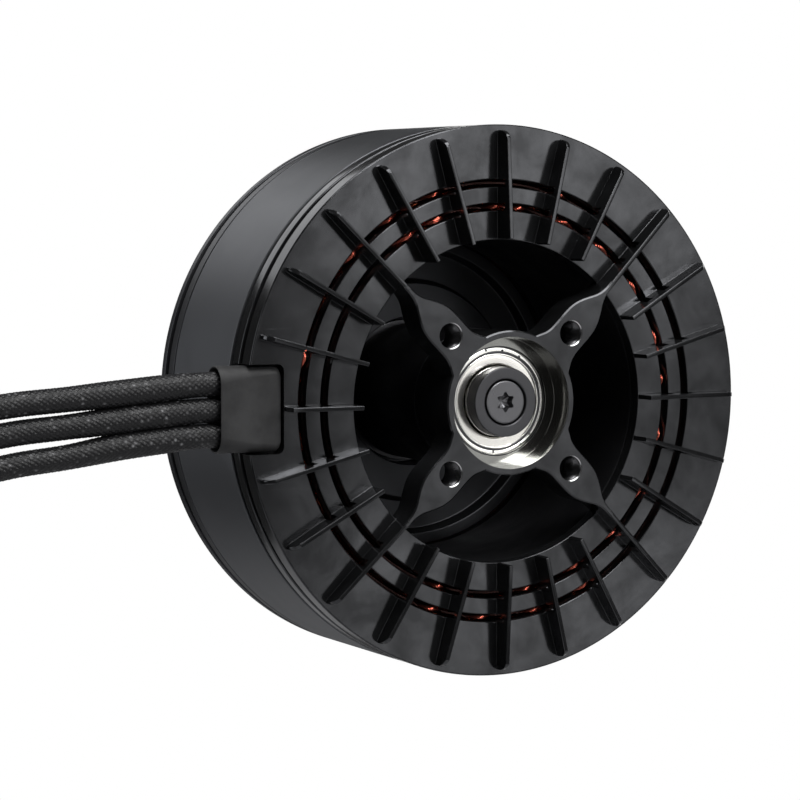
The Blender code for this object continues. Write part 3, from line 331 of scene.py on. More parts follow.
class Look:
    """A Principled material and short ways to add procedural detail to it."""

    def __init__(self, name, colour, roughness, metallic, **sockets):
        self.material = bpy.data.materials.new(name)
        self.material.use_nodes = True
        self.tree = self.material.node_tree
        self.shader = self.tree.nodes["Principled BSDF"]
        self.colour = colour
        self.put("Base Color", (*colour, 1.0))
        self.put("Roughness", roughness)
        self.put("Metallic", metallic)
        for socket, value in sockets.items():
            self.put(socket.replace("_", " "), value)
        coordinates = self.node("ShaderNodeTexCoord")
        self.place = coordinates.outputs["Object"]

    def put(self, socket, value):
        self.shader.inputs[socket].default_value = value

    def node(self, kind, **settings):
        made = self.tree.nodes.new(kind)
        for key, value in settings.items():
            setattr(made, key, value)
        return made

    def link(self, a, b):
        self.tree.links.new(a, b)

    def math(self, operation, a, b=None):
        made = self.node("ShaderNodeMath", operation=operation)
        for socket, value in zip(made.inputs, (a, b)):
            if isinstance(value, (int, float)):
                socket.default_value = value
            elif value is not None:
                self.link(value, socket)
        return made.outputs[0]

    def turned_place(self, along, across):
        """(distance from the axis * across, y * along), which makes marks that run round the axis."""
        split = self.node("ShaderNodeSeparateXYZ")
        self.link(self.place, split.inputs[0])
        x, y, z = split.outputs
        squares = self.math("ADD", self.math("MULTIPLY", x, x), self.math("MULTIPLY", z, z))
        radius = self.math("SQRT", squares)
        joined = self.node("ShaderNodeCombineXYZ")
        self.link(self.math("MULTIPLY", radius, across), joined.inputs[0])
        self.link(self.math("MULTIPLY", y, along), joined.inputs[1])
        return joined.outputs[0]

    def noise(self, scale, detail=4.0, roughness=0.55, place=None, distortion=0.0):
        made = self.node("ShaderNodeTexNoise")
        made.inputs["Scale"].default_value = scale
        made.inputs["Detail"].default_value = detail
        made.inputs["Roughness"].default_value = roughness
        made.inputs["Distortion"].default_value = distortion
        self.link(place or self.place, made.inputs["Vector"])
        return made.outputs["Fac"]

    def spread(self, value, low, high, start=0.35, end=0.65):
        """Maps a noise value from start..end to low..high."""
        made = self.node("ShaderNodeMapRange")
        self.link(value, made.inputs["Value"])
        for socket, number in zip(("From Min", "From Max", "To Min", "To Max"), (start, end, low, high)):
            made.inputs[socket].default_value = number
        return made.outputs["Result"]

    def tint(self, value, low, high):
        """Base colour between low and high times the look's colour, by a value from 0 to 1."""
        ramp = self.node("ShaderNodeValToRGB")
        ramp.color_ramp.elements[0].color = (*(c * low for c in self.colour), 1.0)
        ramp.color_ramp.elements[1].color = (*(min(1.0, c * high) for c in self.colour), 1.0)
        self.link(value, ramp.inputs["Fac"])
        self.link(ramp.outputs["Color"], self.shader.inputs["Base Color"])

    def rough(self, value):
        self.link(value, self.shader.inputs["Roughness"])

    def bump(self, *layers):
        """Adds bumps, each of a height, a strength and a depth in metres."""
        normal = None
        for height, strength, depth in layers:
            made = self.node("ShaderNodeBump")
            made.inputs["Strength"].default_value = strength
            made.inputs["Distance"].default_value = depth
            self.link(height, made.inputs["Height"])
            if normal:
                self.link(normal, made.inputs["Normal"])
            normal = made.outputs["Normal"]
        self.link(normal, self.shader.inputs["Normal"])


def machined(name, colour, roughness, metallic, marks, grain, swing, haze, **sockets):
    """Metal with turning marks, a fine blasted grain and faint smudges."""
    look = Look(name, colour, roughness, metallic, **sockets)
    rings = look.noise(1.0, 3.0, 0.6, look.turned_place(9000.0, 9000.0))
    smudge = look.noise(45.0, 5.0, 0.6, distortion=0.6)
    fine = look.noise(6500.0, 2.0, 0.5)
    look.tint(look.spread(smudge, 0.0, 1.0), 1 - swing, 1 + swing)
    look.rough(look.spread(smudge, roughness * (1 - haze), roughness * (1 + haze)))
    look.bump((rings, marks, 6e-6), (fine, grain, 5e-6))
    return look.material


def handled(name, colour, roughness, metallic):
    """Satin anodising with cloudy finger marks, wiping scratches and a few specks of dust."""
    look = Look(name, colour, roughness, metallic)
    cloud = look.noise(34.0, 7.0, 0.62, distortion=1.4)
    patch = look.noise(90.0, 5.0, 0.6, distortion=0.5)
    turn = look.node("ShaderNodeMapping")
    turn.inputs["Rotation"].default_value = (0.0, math.radians(38), 0.0)
    turn.inputs["Scale"].default_value = (70.0, 70.0, 2600.0)
    look.link(look.place, turn.inputs["Vector"])
    scratch = look.spread(look.noise(1.0, 3.0, 0.6, turn.outputs[0]), 0.0, 1.0, 0.56, 0.72)
    faded = look.math("MULTIPLY", scratch, look.spread(patch, 0.0, 1.0, 0.48, 0.6))
    mixed = look.math("ADD", look.math("MULTIPLY", cloud, 0.55), look.math("MULTIPLY", patch, 0.45))
    dust = look.spread(look.noise(1500.0, 2.0, 0.5), 0.0, 0.5, 0.76, 0.8)
    smudged = look.spread(mixed, 0.0, 0.85, 0.4, 0.62)
    marked = look.math("ADD", look.math("MULTIPLY", faded, 0.25), dust)
    look.tint(look.math("ADD", smudged, marked), 0.68, 1.42)
    cloudy = look.spread(mixed, roughness * 1.15, roughness * 0.85)
    look.rough(look.math("ADD", cloudy, look.math("MULTIPLY", faded, 0.05)))
    fine = look.noise(6500.0, 2.0, 0.5)
    look.bump((fine, 0.12, 5e-6), (scratch, 0.05, 4e-6))
    return look.material


MACHINED_LOOKS = {
    # key: (name, colour, roughness, metallic, turning marks, grain, colour swing, roughness swing)
    "bell": ("anodised_turned_black", (0.042, 0.043, 0.047), 0.36, 0.75, 0.45, 0.3, 0.12, 0.1),
    "can": ("coated_steel_can", (0.09, 0.093, 0.1), 0.42, 0.8, 0.15, 0.4, 0.03, 0.05),
    "bare": ("bare_machined_aluminium", (0.62, 0.62, 0.63), 0.24, 1.0, 0.5, 0.2, 0.1, 0.2),
    "steel": ("ground_bearing_steel", (0.93, 0.92, 0.88), 0.13, 1.0, 0.1, 0.08, 0.04, 0.2),
    "shield": ("bright_bearing_shield", (0.93, 0.91, 0.86), 0.22, 1.0, 0.1, 0.15, 0.06, 0.2),
    "dark_steel": ("black_oxide_steel", (0.079, 0.079, 0.084), 0.35, 0.85, 0.25, 0.4, 0.1, 0.2),
    "screw": ("worn_black_oxide_screw", (0.15, 0.15, 0.158), 0.33, 0.85, 0.15, 0.4, 0.1, 0.2),
    "bore": ("bare_polished_bore", (0.31, 0.31, 0.295), 0.13, 1.0, 0.0, 0.0, 0.08, 0.2),
    "tapped": ("dark_tapped_hole", (0.14, 0.14, 0.145), 0.25, 1.0, 0.05, 0.1, 0.2, 0.2),
    "magnet": ("nickel_plated_magnet", (0.45, 0.45, 0.46), 0.3, 1.0, 0.05, 0.3, 0.15, 0.2),
    "gold": ("gold_plated_plug", (0.86, 0.6, 0.24), 0.2, 1.0, 0.2, 0.15, 0.1, 0.2),
}


def make_looks():
    looks = {key: machined(*values) for key, values in MACHINED_LOOKS.items()}
    looks["base"] = handled("anodised_satin_black", (0.052, 0.053, 0.056), 0.15, 0.85)
    looks["hub"] = handled("anodised_milled_hub", (0.053, 0.054, 0.057), 0.17, 0.85)
    carrier = ("dark_turned_carrier", (0.02, 0.02, 0.022), 0.5, 0.6, 0.5, 0.25, 0.2, 0.2)
    looks["carrier"] = machined(*carrier, Specular_IOR_Level=0.3)
    colour = (0.62, 0.12, 0.05)
    copper = Look("enamelled_copper_wire", colour, 0.25, 1.0, Coat_Weight=0.3, Coat_Roughness=0.15)
    copper.tint(copper.spread(copper.noise(420.0, 3.0), 0.0, 1.0), 0.55, 1.25)
    copper.bump((copper.noise(2500.0, 2.0), 0.2, 8e-6))
    looks["copper"] = copper.material

    link = Look("varnished_copper_link_painted_shade", (1.0, 0.2, 0.12), 0.2, 1.0, Coat_Weight=0.8, Coat_Roughness=0.12)
    # The link wires are painted darker the deeper they lie in the slots, from y 8.9 mm to 10.9 mm: painted
    # shade. The value bare is 1 near the face and 0 deep down.
    depth = link.node("ShaderNodeSeparateXYZ")
    link.link(link.place, depth.inputs[0])
    bare = link.spread(depth.outputs[1], 1.0, 0.0, 0.0089, 0.0109)
    link.tint(link.math("MULTIPLY", bare, link.spread(link.noise(900.0, 2.0), 0.8, 1.0)), 0.05, 1.0)
    link.bump((link.noise(2500.0, 2.0), 0.06, 8e-6))
    looks["link"] = link.material

    stack = Look("varnished_lamination_stack", (0.13, 0.13, 0.14), 0.45, 0.7)
    sheets = stack.node("ShaderNodeTexWave", wave_type="BANDS", bands_direction="Y")
    sheets.inputs["Scale"].default_value = 450.0
    stack.link(stack.place, sheets.inputs["Vector"])
    stack.tint(sheets.outputs["Fac"], 0.5, 1.3)
    stack.bump((sheets.outputs["Fac"], 0.5, 5e-5))
    looks["stack"] = stack.material

    rubber = Look("moulded_matte_rubber", (0.026, 0.026, 0.027), 0.62, 0.0, Specular_IOR_Level=0.4)
    rubber.tint(rubber.spread(rubber.noise(160.0, 5.0), 0.0, 1.0), 0.75, 1.3)
    rubber.rough(rubber.spread(rubber.noise(90.0, 4.0), 0.5, 0.75))
    rubber.bump((rubber.noise(3800.0, 3.0), 0.35, 2e-5))
    looks["rubber"] = rubber.material

    braid = Look("woven_black_sleeve", (0.01, 0.01, 0.011), 0.42, 0.0, Specular_IOR_Level=0.3)
    # Grey specks on the crests of the weave, read from a per-vertex attribute, are painted highlights.
    painted_glint = braid.node("ShaderNodeAttribute", attribute_name="painted_glint")
    grey = braid.node("ShaderNodeMix", data_type="RGBA")
    grey.inputs[6].default_value = (0.011, 0.011, 0.012, 1.0)
    grey.inputs[7].default_value = (0.3, 0.3, 0.31, 1.0)
    painted_glint_strength = braid.math("MULTIPLY", painted_glint.outputs["Fac"], braid.spread(braid.noise(900.0, 2.0), 0.5, 1.0))
    braid.link(painted_glint_strength, grey.inputs[0])
    braid.link(grey.outputs[2], braid.shader.inputs["Base Color"])
    braid.rough(braid.spread(braid.noise(700.0, 2.0), 0.32, 0.55))
    braid.bump((braid.noise(5200.0, 2.0), 0.3, 2e-5))
    looks["braid"] = braid.material

    shrink = Look("heat_shrunk_sleeve", (0.022, 0.022, 0.024), 0.45, 0.0)
    shrink.tint(shrink.spread(shrink.noise(120.0, 4.0), 0.0, 1.0), 0.7, 1.4)
    shrink.rough(shrink.spread(shrink.noise(200.0, 3.0), 0.35, 0.55))
    shrink.bump((shrink.noise(600.0, 3.0), 0.35, 6e-5))
    looks["shrink"] = shrink.material
    return looks


looks = make_looks()

# ------------ leads

LEAD_DIAMETER, LEAD_Y = 6.8, 12.4
# Near the boot the leads press together: they swell, and move along Z, round these values of x.
LEAD_SWELL, SWELL_X, SWELL_WIDTH = 0.3, -108.0, 14.5
LEAD_NUDGE, NUDGE_X, NUDGE_WIDTH = {"a": -0.25, "b": 0.0, "c": 0.5}, -102.0, 20.0
LEAD_ROUTES = {
    "a": (
        (-79.1, 12.4, 7.15), (-92, 12.4, 7), (-110, 12.4, 5.6), (-127, 12.4, 4.1),
        (-143, 12.4, 2.9), (-161, 12.5, 0.2), (-178, 12.7, -7.5), (-191, 13, -21),
        (-199, 13.4, -39), (-202.5, 13.8, -60), (-203.5, 14, -85), (-203.5, 14, -112),
        (-203.5, 14, -140),
    ),
    "b": (
        (-79.1, 12.4, 0), (-92, 12.4, -0.3), (-110, 12.4, -1.7), (-127, 12.4, -3.2),
        (-143, 12.4, -4.6), (-158, 12.3, -7.5), (-172, 12.1, -14.5), (-182.5, 11.9, -26),
        (-188.5, 11.7, -42), (-190.7, 11.5, -62), (-191.2, 11.4, -88), (-191.2, 11.4, -117),
        (-191.2, 11.4, -146),
    ),
    "c": (
        (-79.1, 12.4, -7.15), (-92, 12.4, -7.6), (-110, 12.4, -9.2), (-127, 12.4, -11.2),
        (-143, 12.4, -13), (-155, 12.5, -16), (-166.5, 12.8, -23), (-174.5, 13.1, -34),
        (-178.4, 13.4, -49), (-179.2, 13.6, -68), (-179.2, 13.6, -94), (-179.2, 13.6, -124),
        (-179.2, 13.6, -152),
    ),
}
BRAID_AROUND, BRAID_PITCH, BRAID_DEPTH = 16, 1.75, 0.32
BRAID_STEP, BRAID_SIDES = 0.25, 96
PLUG_LENGTH = 26.0
SLEEVE_TOP, SLEEVE_LOW = 10.0, -14.0


def even_path(points, step):
    """Points a step apart, or a little less, along a curve, and the curve's length."""
    curve = smooth_curve(points, 40)
    travelled = np.concatenate([[0.0], np.cumsum(np.linalg.norm(np.diff(curve, axis=0), axis=1))])
    wanted = np.linspace(0.0, travelled[-1], int(math.ceil(travelled[-1] / step)) + 1)
    return np.stack([np.interp(wanted, travelled, curve[:, k]) for k in range(3)], 1), travelled[-1]


def braid_height(along, angle):
    """The weave's height, from 0 to 1, its two strands' numbers, and whether the first is on top."""
    one = along / BRAID_PITCH + angle * BRAID_AROUND / TAU
    two = along / BRAID_PITCH - angle * BRAID_AROUND / TAU
    a, b = one % 1.0, two % 1.0
    over = (np.floor(one) + np.floor(two)) % 2 < 0.5
    across, down = np.where(over, a, b), np.where(over, b, a)
    filaments = 0.86 + 0.14 * np.abs(np.sin(3 * math.pi * across))
    height = np.sin(math.pi * across) ** 0.45 * (0.55 + 0.45 * np.sin(math.pi * down)) * filaments
    return height, np.floor(one), np.floor(two), over


def scatter(value):
    """An even spread of numbers from 0 to 1, the same each run."""
    return np.abs(np.sin(value) * 43758.5453) % 1.0


def bulge(x, middle, width):
    return np.exp(-(((x - middle) / width) ** 4))


def braided_lead(phase):
    path, length = even_path(LEAD_ROUTES[phase], BRAID_STEP)
    soup = tube(path, 1.0, BRAID_SIDES)
    outwards = soup.points[0].reshape(len(path), BRAID_SIDES, 3) - path[:, None]
    along = np.linspace(0.0, length, len(path))[:, None]
    angle = (TAU * np.arange(BRAID_SIDES) / BRAID_SIDES)[None, :]
    height, one, two, over = braid_height(along, angle)
    swell = LEAD_SWELL * bulge(path[:, 0], SWELL_X, SWELL_WIDTH)[:, None]
    path[:, 2] += LEAD_NUDGE[phase] * bulge(path[:, 0], NUDGE_X, NUDGE_WIDTH)
    reach = 0.5 * LEAD_DIAMETER + swell - BRAID_DEPTH + BRAID_DEPTH * height
    soup.points = [(path[:, None] + outwards * reach[:, :, None]).reshape(-1, 3)]
    name = f"phase_lead_{phase}_braid"
    nodes = [f"phase_lead_{phase}"]
    obj = piece(name, soup, "stator", looks["braid"], nodes, weighted=False)
    # Specks and short streaks on the crests of the weave are painted highlights, stored per vertex for the
    # braid's material.
    strand = np.where(over, one, two + 500.0) + 37.0 * ord(phase)
    draw = scatter(one * 12.9898 + two * 78.233 + strand * 3.7)
    streak = scatter(strand * 91.7)
    painted_glint_strength = np.where((draw > 0.55) & (streak > 0.84), 0.35, 0.0)
    painted_glint = np.where(draw > 0.965, 1.0, painted_glint_strength) * np.clip(height, 0.0, 1.0) ** 4
    store_attribute(obj, "painted_glint", painted_glint.ravel())
    bullet_plug(phase)
    plug_sleeve(phase)


def store_attribute(obj, name, values):
    """Writes one value to each vertex, where cleaning has joined none of them."""
    if len(obj.data.vertices) == len(values):
        made = obj.data.attributes.new(name, "FLOAT", "POINT")
        made.data.foreach_set("value", values.astype(np.float32))


def plug_sleeve(phase):
    """Heat-shrink sleeve over the crimp, which narrows to the lead at its top."""
    x, y, z = LEAD_ROUTES[phase][-1]
    top, low = SLEEVE_TOP, SLEEVE_LOW
    rows = [(3.62, top), (3.95, top - 0.05), (4.08, top - 0.4), (4.15, top - 3.0), (4.35, 5.0)]
    rows += [(4.8, 2.0), (4.97, 0.0), (4.93, -2.0), (4.99, -5.0), (4.93, -8.0), (4.97, -11.0)]
    rows += [(4.9, low + 0.4), (4.72, low + 0.05), (4.42, low), (4.36, low + 0.6), (4.36, -1.1)]
    rows += [(3.66, -1.1), (3.62, top - 0.5)]
    soup = stand_up(lathe(rounded(rows, 0.3, 2), 64), x, y, z)
    name, nodes = f"plug_sleeve_{phase}_shrunk", [f"plug_sleeve_{phase}"]
    return piece(name, soup, "stator", looks["shrink"], nodes)


def bullet_plug(phase):
    """A gold bullet plug, whose slit spring cage bulges near its tip."""
    x, y, z = LEAD_ROUTES[phase][-1]

    def slit(radius, depth):
        return lambda a: radius - depth * np.exp(-((np.sin(2 * a) / 0.16) ** 2))

    cup = -1.3
    tip = cup - PLUG_LENGTH
    rows = [(0.0, cup), (3.9, cup), (3.98, cup - 0.3), (3.98, tip + 10.2), (3.7, tip + 9.9), (3.7, tip + 9.3)]
    rows += [(3.95, tip + 9.0), (3.95, tip + 8.3), (3.0, tip + 8.0), (slit(3.15, 0.1), tip + 7.7)]
    rows += [(slit(3.6, 0.5), tip + 6.2), (slit(3.8, 0.6), tip + 4.6), (slit(3.6, 0.5), tip + 3.0)]
    rows += [(slit(3.1, 0.3), tip + 1.8), (3.0, tip + 1.5), (2.9, tip + 0.7), (1.9, tip + 0.1), (0.0, tip)]
    soup = stand_up(lathe(rows, 96, closed=False), x, y, z)
    name, nodes = f"bullet_plug_{phase}_gold", [f"bullet_plug_{phase}"]
    return piece(name, soup, "stator", looks["gold"], nodes)


def stand_up(soup, x, y, z):
    """Turns a lathe about Y into one about Z and moves it to a place."""
    soup.points = [np.stack([p[:, 0], -p[:, 2], p[:, 1]], 1) for p in soup.points]
    return soup.moved(x, y, z)


for phase_name in LEAD_ROUTES:
    braided_lead(phase_name)

# ------------ stator base

PLATE_FACE, PLATE_BACK = 7.0, 11.0
SLOTS = ((53.5, 55.6), (60.1, 62.2))
SLOT_TOP = 2.9
FIN_COUNT, NOTCH_FIN, ARM_FINS = 24, 12, (3, 9, 15, 21)
FIN_END, NOTCH_FIN_END = 75.9, 66.3
HUB_RADIUS, BORE_RADIUS, BOLT_CIRCLE_RADIUS = 20.2, 18.55, 27.0
LOBE_SIDE = (
    (46.9, 0.72), (45.0, 0.74), (43.4, 0.82), (41.8, 1.15), (40.2, 1.8), (38.4, 2.85), (36.4, 3.95),
    (34.2, 4.85), (32.0, 5.3), (29.4, 5.45), (26.6, 5.42), (23.8, 5.5), (21.8, 5.95), (20.2, 6.75),
    (18.75, 7.5),
)


def fin(radius_in, radius_out, blunt=False):
    """One cooling fin with a filleted root, rounded edges and a rounded outer end."""
    top_at = lambda r: 0.02 + 1.8 * (r - 45.8) / 27.0
    stations = [(radius_in, 0.16, 0.12, False), (radius_in + 0.2, 0.0, 0.0, False)]
    for low, high in SLOTS:
        if low < radius_out:
            stations += [(low, 0.0, 0.0, False), (low, 0.0, 0.0, True)]
            stations += [(high, 0.0, 0.0, True), (high, 0.0, 0.0, False)]
    if blunt:
        stations += [(radius_out - 0.2, 0.0, 0.0, False), (radius_out, 0.16, 0.12, False)]
    else:
        falls = ((2.3, 0.0, 0.0), (1.8, 0.15, 0.0), (1.1, 0.75, 0.02), (0.55, 1.6, 0.06))
        falls += ((0.22, 2.6, 0.12), (0.0, 4.0, 0.26))
        stations += [(radius_out - back, drop, thin, False) for back, drop, thin in falls]
    base = PLATE_FACE
    rows = []
    for radius, drop, thin, bridging in stations:
        top = min(top_at(radius) + drop, base - 0.6)
        w, foot, edge, root = 0.62 - thin, 0.7 - thin, 0.2, 0.12
        side = [
            (foot + root, base + 0.12), (foot + root, base),
            (foot + 0.42 * root, base - 0.1 * root), (foot + 0.12 * root, base - 0.42 * root),
            (foot, min(base - root, 10.0)), (w, top + edge), (w - 0.3 * edge, top + 0.3 * edge),
            (w - edge, top),
        ]
        if side[4][1] < side[5][1]:
            side[4] = (foot, side[5][1] + 0.02)
        if bridging:
            side = [(min(z, foot), min(y, SLOT_TOP)) for z, y in side]
        loop = side + [(-z, y) for z, y in reversed(side)]
        rows.append([(radius, y, z) for z, y in loop])
    return skin(rows)


def hub_outline():
    side = smooth_curve(LOBE_SIDE, 6)
    start = math.atan2(side[-1][1], side[-1][0])
    ring = [polar(HUB_RADIUS, start + (math.pi / 4 - start) * k / 8) for k in range(1, 8)]
    upper = np.concatenate([side, ring])
    lobe = np.concatenate([upper[::-1], upper * [1, -1]])
    loop = []
    for angle in (math.pi / 4, -math.pi / 4, -3 * math.pi / 4, -5 * math.pi / 4):
        c, s = math.cos(angle), math.sin(angle)
        loop.append(lobe @ np.array([[c, s], [-s, c]]))
        loop.append([polar(HUB_RADIUS, angle - math.pi / 4)])
    return np.concatenate(loop)


def rounded_box_outline(half_width, half_height, corner, steps=8):
    points = []
    for quarter, (sx, sz) in enumerate(((1, 1), (-1, 1), (-1, -1), (1, -1))):
        for k in range(steps + 1):
            angle = math.pi / 2 * (quarter + k / steps)
            x, z = polar(corner, angle)
            points.append((sx * (half_width - corner) + x, sz * (half_height - corner) + z))
    return np.array(points)


def base_rim():
    notch_outline = rounded_box_outline(8.25, 12.2, 1.9) + [-74.75, 0.0]
    notch = plate_shape(notch_outline, [], -2.0, 24.0, 0.0)
    slot_edge = SLOTS[1][1]
    rim = [
        (slot_edge, PLATE_FACE), (77.5, PLATE_FACE), (77.5, 12.5), (75.9, 12.7), (75.9, 14.3),
        (77.5, 14.5), (77.5, 18.6), (73.9, 18.6), (73.9, 20.6), (71.5, 20.6), (71.5, PLATE_BACK),
        (slot_edge, PLATE_BACK),
    ]
    soup = lathe(rounded(rim, 0.42), 288)
    piece("base_rim", soup, "stator", looks["base"], cutter=notch)


def base_body():
    """The plate's two inner rings, the fins that bridge its slots, and the barrel behind the hub."""
    (s1, s2), (s3, _) = SLOTS
    body = Soup()
    for low, high in ((45.4, s1), (s2, s3)):
        section = [(low, PLATE_FACE), (high, PLATE_FACE), (high, PLATE_BACK), (low, PLATE_BACK)]
        add_soup(body, lathe(rounded(section, 0.3), 288))
    step = TAU / FIN_COUNT
    plain = [k * step for k in range(FIN_COUNT) if k not in ARM_FINS and k != NOTCH_FIN]
    body.add_turned(fin(45.6, FIN_END), plain)
    body.add_turned(fin(45.0, FIN_END), [k * step for k in ARM_FINS])
    body.add_turned(fin(45.6, NOTCH_FIN_END, blunt=True), [NOTCH_FIN * step])
    barrel = [
        (18.6, 5.0), (19.9, 5.0), (19.9, 20.5), (13.6, 20.5), (13.6, 17.8), (16.2, 17.8),
        (16.2, 8.45), (18.6, 8.45),
    ]
    add_soup(body, lathe(rounded(barrel, 0.15), 160))
    piece("base_body", body, "stator", looks["base"], ["stator_base"])


def base_hub():
    """The hub with its four lobes and arms, the bare wall of its bore, and its four tapped holes."""
    lobes = evenly(4, math.pi / 4)
    holes = [circle(BORE_RADIUS, 160)] + [circle(3.74, 48, polar(BOLT_CIRCLE_RADIUS, a)) for a in lobes]
    hub = plate_shape(hub_outline(), holes, 0.0, 10.5, 0.4, flat=True, hole_edge=0.25)
    piece("base_hub", hub, "stator", looks["hub"], smooth=30)
    wall = [(18.42, 0.35), (18.58, 0.35), (18.62, 4.0), (18.58, 8.44)]
    wall += [(15.5, 8.44), (15.5, 8.3), (18.42, 8.3)]
    piece("bore_wall", lathe(rounded(wall, 0.08, 2), 200), "stator", looks["bore"])
    chamfer = [(3.8, 0.1), (3.46, 0.44), (3.44, 0.7), (3.8, 0.7)]
    thread = [(3.7, 0.6), (3.46, 0.6), (3.44, 0.75)]
    for k in range(13):
        y = 0.9 + THREAD_PITCH * k
        thread += [(3.36, y), (3.36, y + 0.15), (3.56, y + 0.38), (3.56, y + 0.5)]
    thread += [(3.56, 10.1), (3.7, 10.1)]
    for name, rows, n, look in (("chamfers", chamfer, 64, "bare"), ("threads", thread, 48, "tapped")):
        hole = lathe(rows, n).moved(BOLT_CIRCLE_RADIUS, 0.0, 0.0)
        soup = Soup().add_turned(hole, lobes)
        piece(f"mount_hole_{name}", soup, "stator", looks[look], smooth=30)


def add_soup(soup, other):
    return soup.add(np.concatenate(other.points), *other.faces)


# ------------ turned pieces

BEARING_WIDTH = 9.0
FRONT_BEARING, REAR_BEARING = 8.5, 54.0
RACE_MARKS = ((14.8, 103.9), (14.3, 83.3), (14.25, 60.2), (14.3, -94.7), (14.2, -42.5), (14.4, -58.5))


def bearing(place, front):
    back = front + BEARING_WIDTH
    steel, slot = looks["steel"], "bright_steel"
    outer = [(15.1, front), (15.1, front + 0.6), (15.9, front + 0.6), (15.9, back - 0.5)]
    outer += [(15.4, back), (13.95, back), (13.95, front)]
    soup = lathe(rounded(outer, 0.12, 2), 200)
    nodes = [f"{place}_bearing_outer_race"]
    piece(f"{place}_outer_race_ground", soup, "stator", steel, nodes, smooth=30)
    inner = [(7.6, front), (9.9, front), (9.9, back), (7.6, back)]
    soup = lathe(rounded(inner, 0.35, 4), 160)
    piece(f"{place}_inner_race", soup, "rotor", steel, [f"{place}_bearing_inner_race"])
    for side, y, sign in (("front", front + 0.5, 1), ("rear", back - 0.5, -1)):
        rows = [(10.3, y + 0.3 * sign), (10.5, y + 0.08 * sign), (10.8, y), (13.3, y)]
        rows += [(13.5, y + 0.12 * sign), (13.5, y + 0.4 * sign), (10.3, y + 0.55 * sign)]
        nodes = [f"{place}_bearing_{side}_shield"]
        piece(f"{place}_{side}_shield_pressed", lathe(rows, 200), "stator", looks["shield"], nodes)


def shield_clip():
    y = 8.62
    rows = rounded([(12.95, y), (13.4, y), (13.4, y + 0.36), (12.95, y + 0.36)], 0.12, 2)
    soup = lathe(rows, 150, span=math.radians(340), start=math.radians(-50))
    piece("front_clip_spring", soup, "stator", looks["steel"], ["front_shield_clip"])


def race_marks():
    """Shallow dark marks on the front bearing's outer race, and dark rings in the gaps on its two sides,
    which are painted shade.
    """
    soup = Soup()
    # Dark rings laid into the gaps beside the race: painted shade.
    for low, high, y in ((13.42, 13.98, 8.72), (15.05, 15.52, 8.8)):
        gap = [(low, y), (high, y), (high, y + 0.25), (low, y + 0.25)]
        add_soup(soup, lathe(rounded(gap, 0.05, 2), 160))
    for radius, angle in RACE_MARKS:
        rows = [(0.0, 8.46), (0.26, 8.46), (0.36, 8.49), (0.36, 8.6), (0.0, 8.6)]
        add_soup(soup, lathe(rows, 14, closed=False).moved(*place_of(radius, math.radians(angle))))
    piece("front_race_marks_and_painted_gap_shade", soup, "stator", looks["dark_steel"])


def lobed(radius, swing):
    """A six-lobed socket outline."""
    return lambda a: radius + swing * np.cos(6 * (a - math.pi / 2)) + 0.06 * np.cos(12 * (a - math.pi / 2))


def shaft_end():
    """The collar clamped on the inner race, and the countersunk screw in its middle."""
    slot, front, top = "black_oxide_steel", 3.4, 3.5
    collar = [(6.5, front), (9.8, front), (9.8, 8.2), (3.3, 8.2), (3.3, 7.7), (6.5, 4.5)]
    soup = lathe(rounded(collar, 0.4, 4), 180)
    piece("collar_turned", soup, "rotor", looks["dark_steel"], ["shaft_collar"])
    rows = [(0.0, top + 2.9), (lobed(1.2, 0.2), top + 2.8), (lobed(2.25, 0.42), top + 2.5)]
    rows += [(lobed(2.25, 0.42), top + 0.25), (lobed(2.42, 0.42), top), (2.7, top), (5.55, top)]
    rows += [(5.75, top), (5.95, top + 0.08), (6.02, top + 0.35), (6.0, top + 0.9)]
    rows += [(2.7, top + 4.3), (2.7, 22.5), (0.0, 22.5)]
    soup = lathe(rows, 180, closed=False)
    piece("end_screw_head", soup, "rotor", looks["screw"], ["shaft_end_screw"])


THREAD_PITCH = 0.7
FLANGE_SCREW_RADIUS, CARRIER_SCREW_RADIUS = 14.5, 50.9


def hexed(radius):
    """A hexagon across corners of a radius, as a function of the angle."""
    return lambda a: radius * math.cos(math.pi / 6) / np.cos((a % (math.pi / 3)) - math.pi / 6)


def knurled(radius):
    return lambda a: radius - 0.05 * (0.5 - 0.5 * np.cos(40 * a))


def cap_screw_soup(seat, shank, length, head, height):
    """A socket-head screw along Y, with its head towards +Y from the seat."""
    top = seat + height
    rows = [(0.0, seat + 0.4 * height), (hexed(0.5 * head), seat + 0.42 * height)]
    rows += [(hexed(0.5 * head), top - 0.15), (hexed(0.56 * head), top), (head - 0.35, top)]
    rows += [(head - 0.1, top - 0.12), (knurled(head), top - 0.35), (knurled(head), seat + 0.2)]
    rows += [(head - 0.15, seat), (shank, seat)]
    for k in range(int(length / THREAD_PITCH)):
        y = seat - THREAD_PITCH * k - 0.1
        rows += [(shank, y), (shank - 0.2, y - 0.3)]
    rows += [(shank - 0.3, seat - length), (0.0, seat - length)]
    return lathe(rows, 96, closed=False)


def screws():
    rings = (
        ("flange", "rotor", FLANGE_SCREW_RADIUS, math.pi / 4, (74.0, 1.9, 8.8, 3.4, 3.5)),
        ("carrier", "stator", CARRIER_SCREW_RADIUS, 0.0, (14.6, 1.15, 5.8, 2.2, 2.4)),
    )
    for kind, body, radius, start, shape in rings:
        for number, angle in enumerate(evenly(4, start), 1):
            soup = cap_screw_soup(*shape).moved(*place_of(radius, angle))
            name, nodes = f"{kind}_cap_screw_{number}", [f"{kind}_screw_{number}"]
            piece(name, soup, body, looks["dark_steel"], nodes)


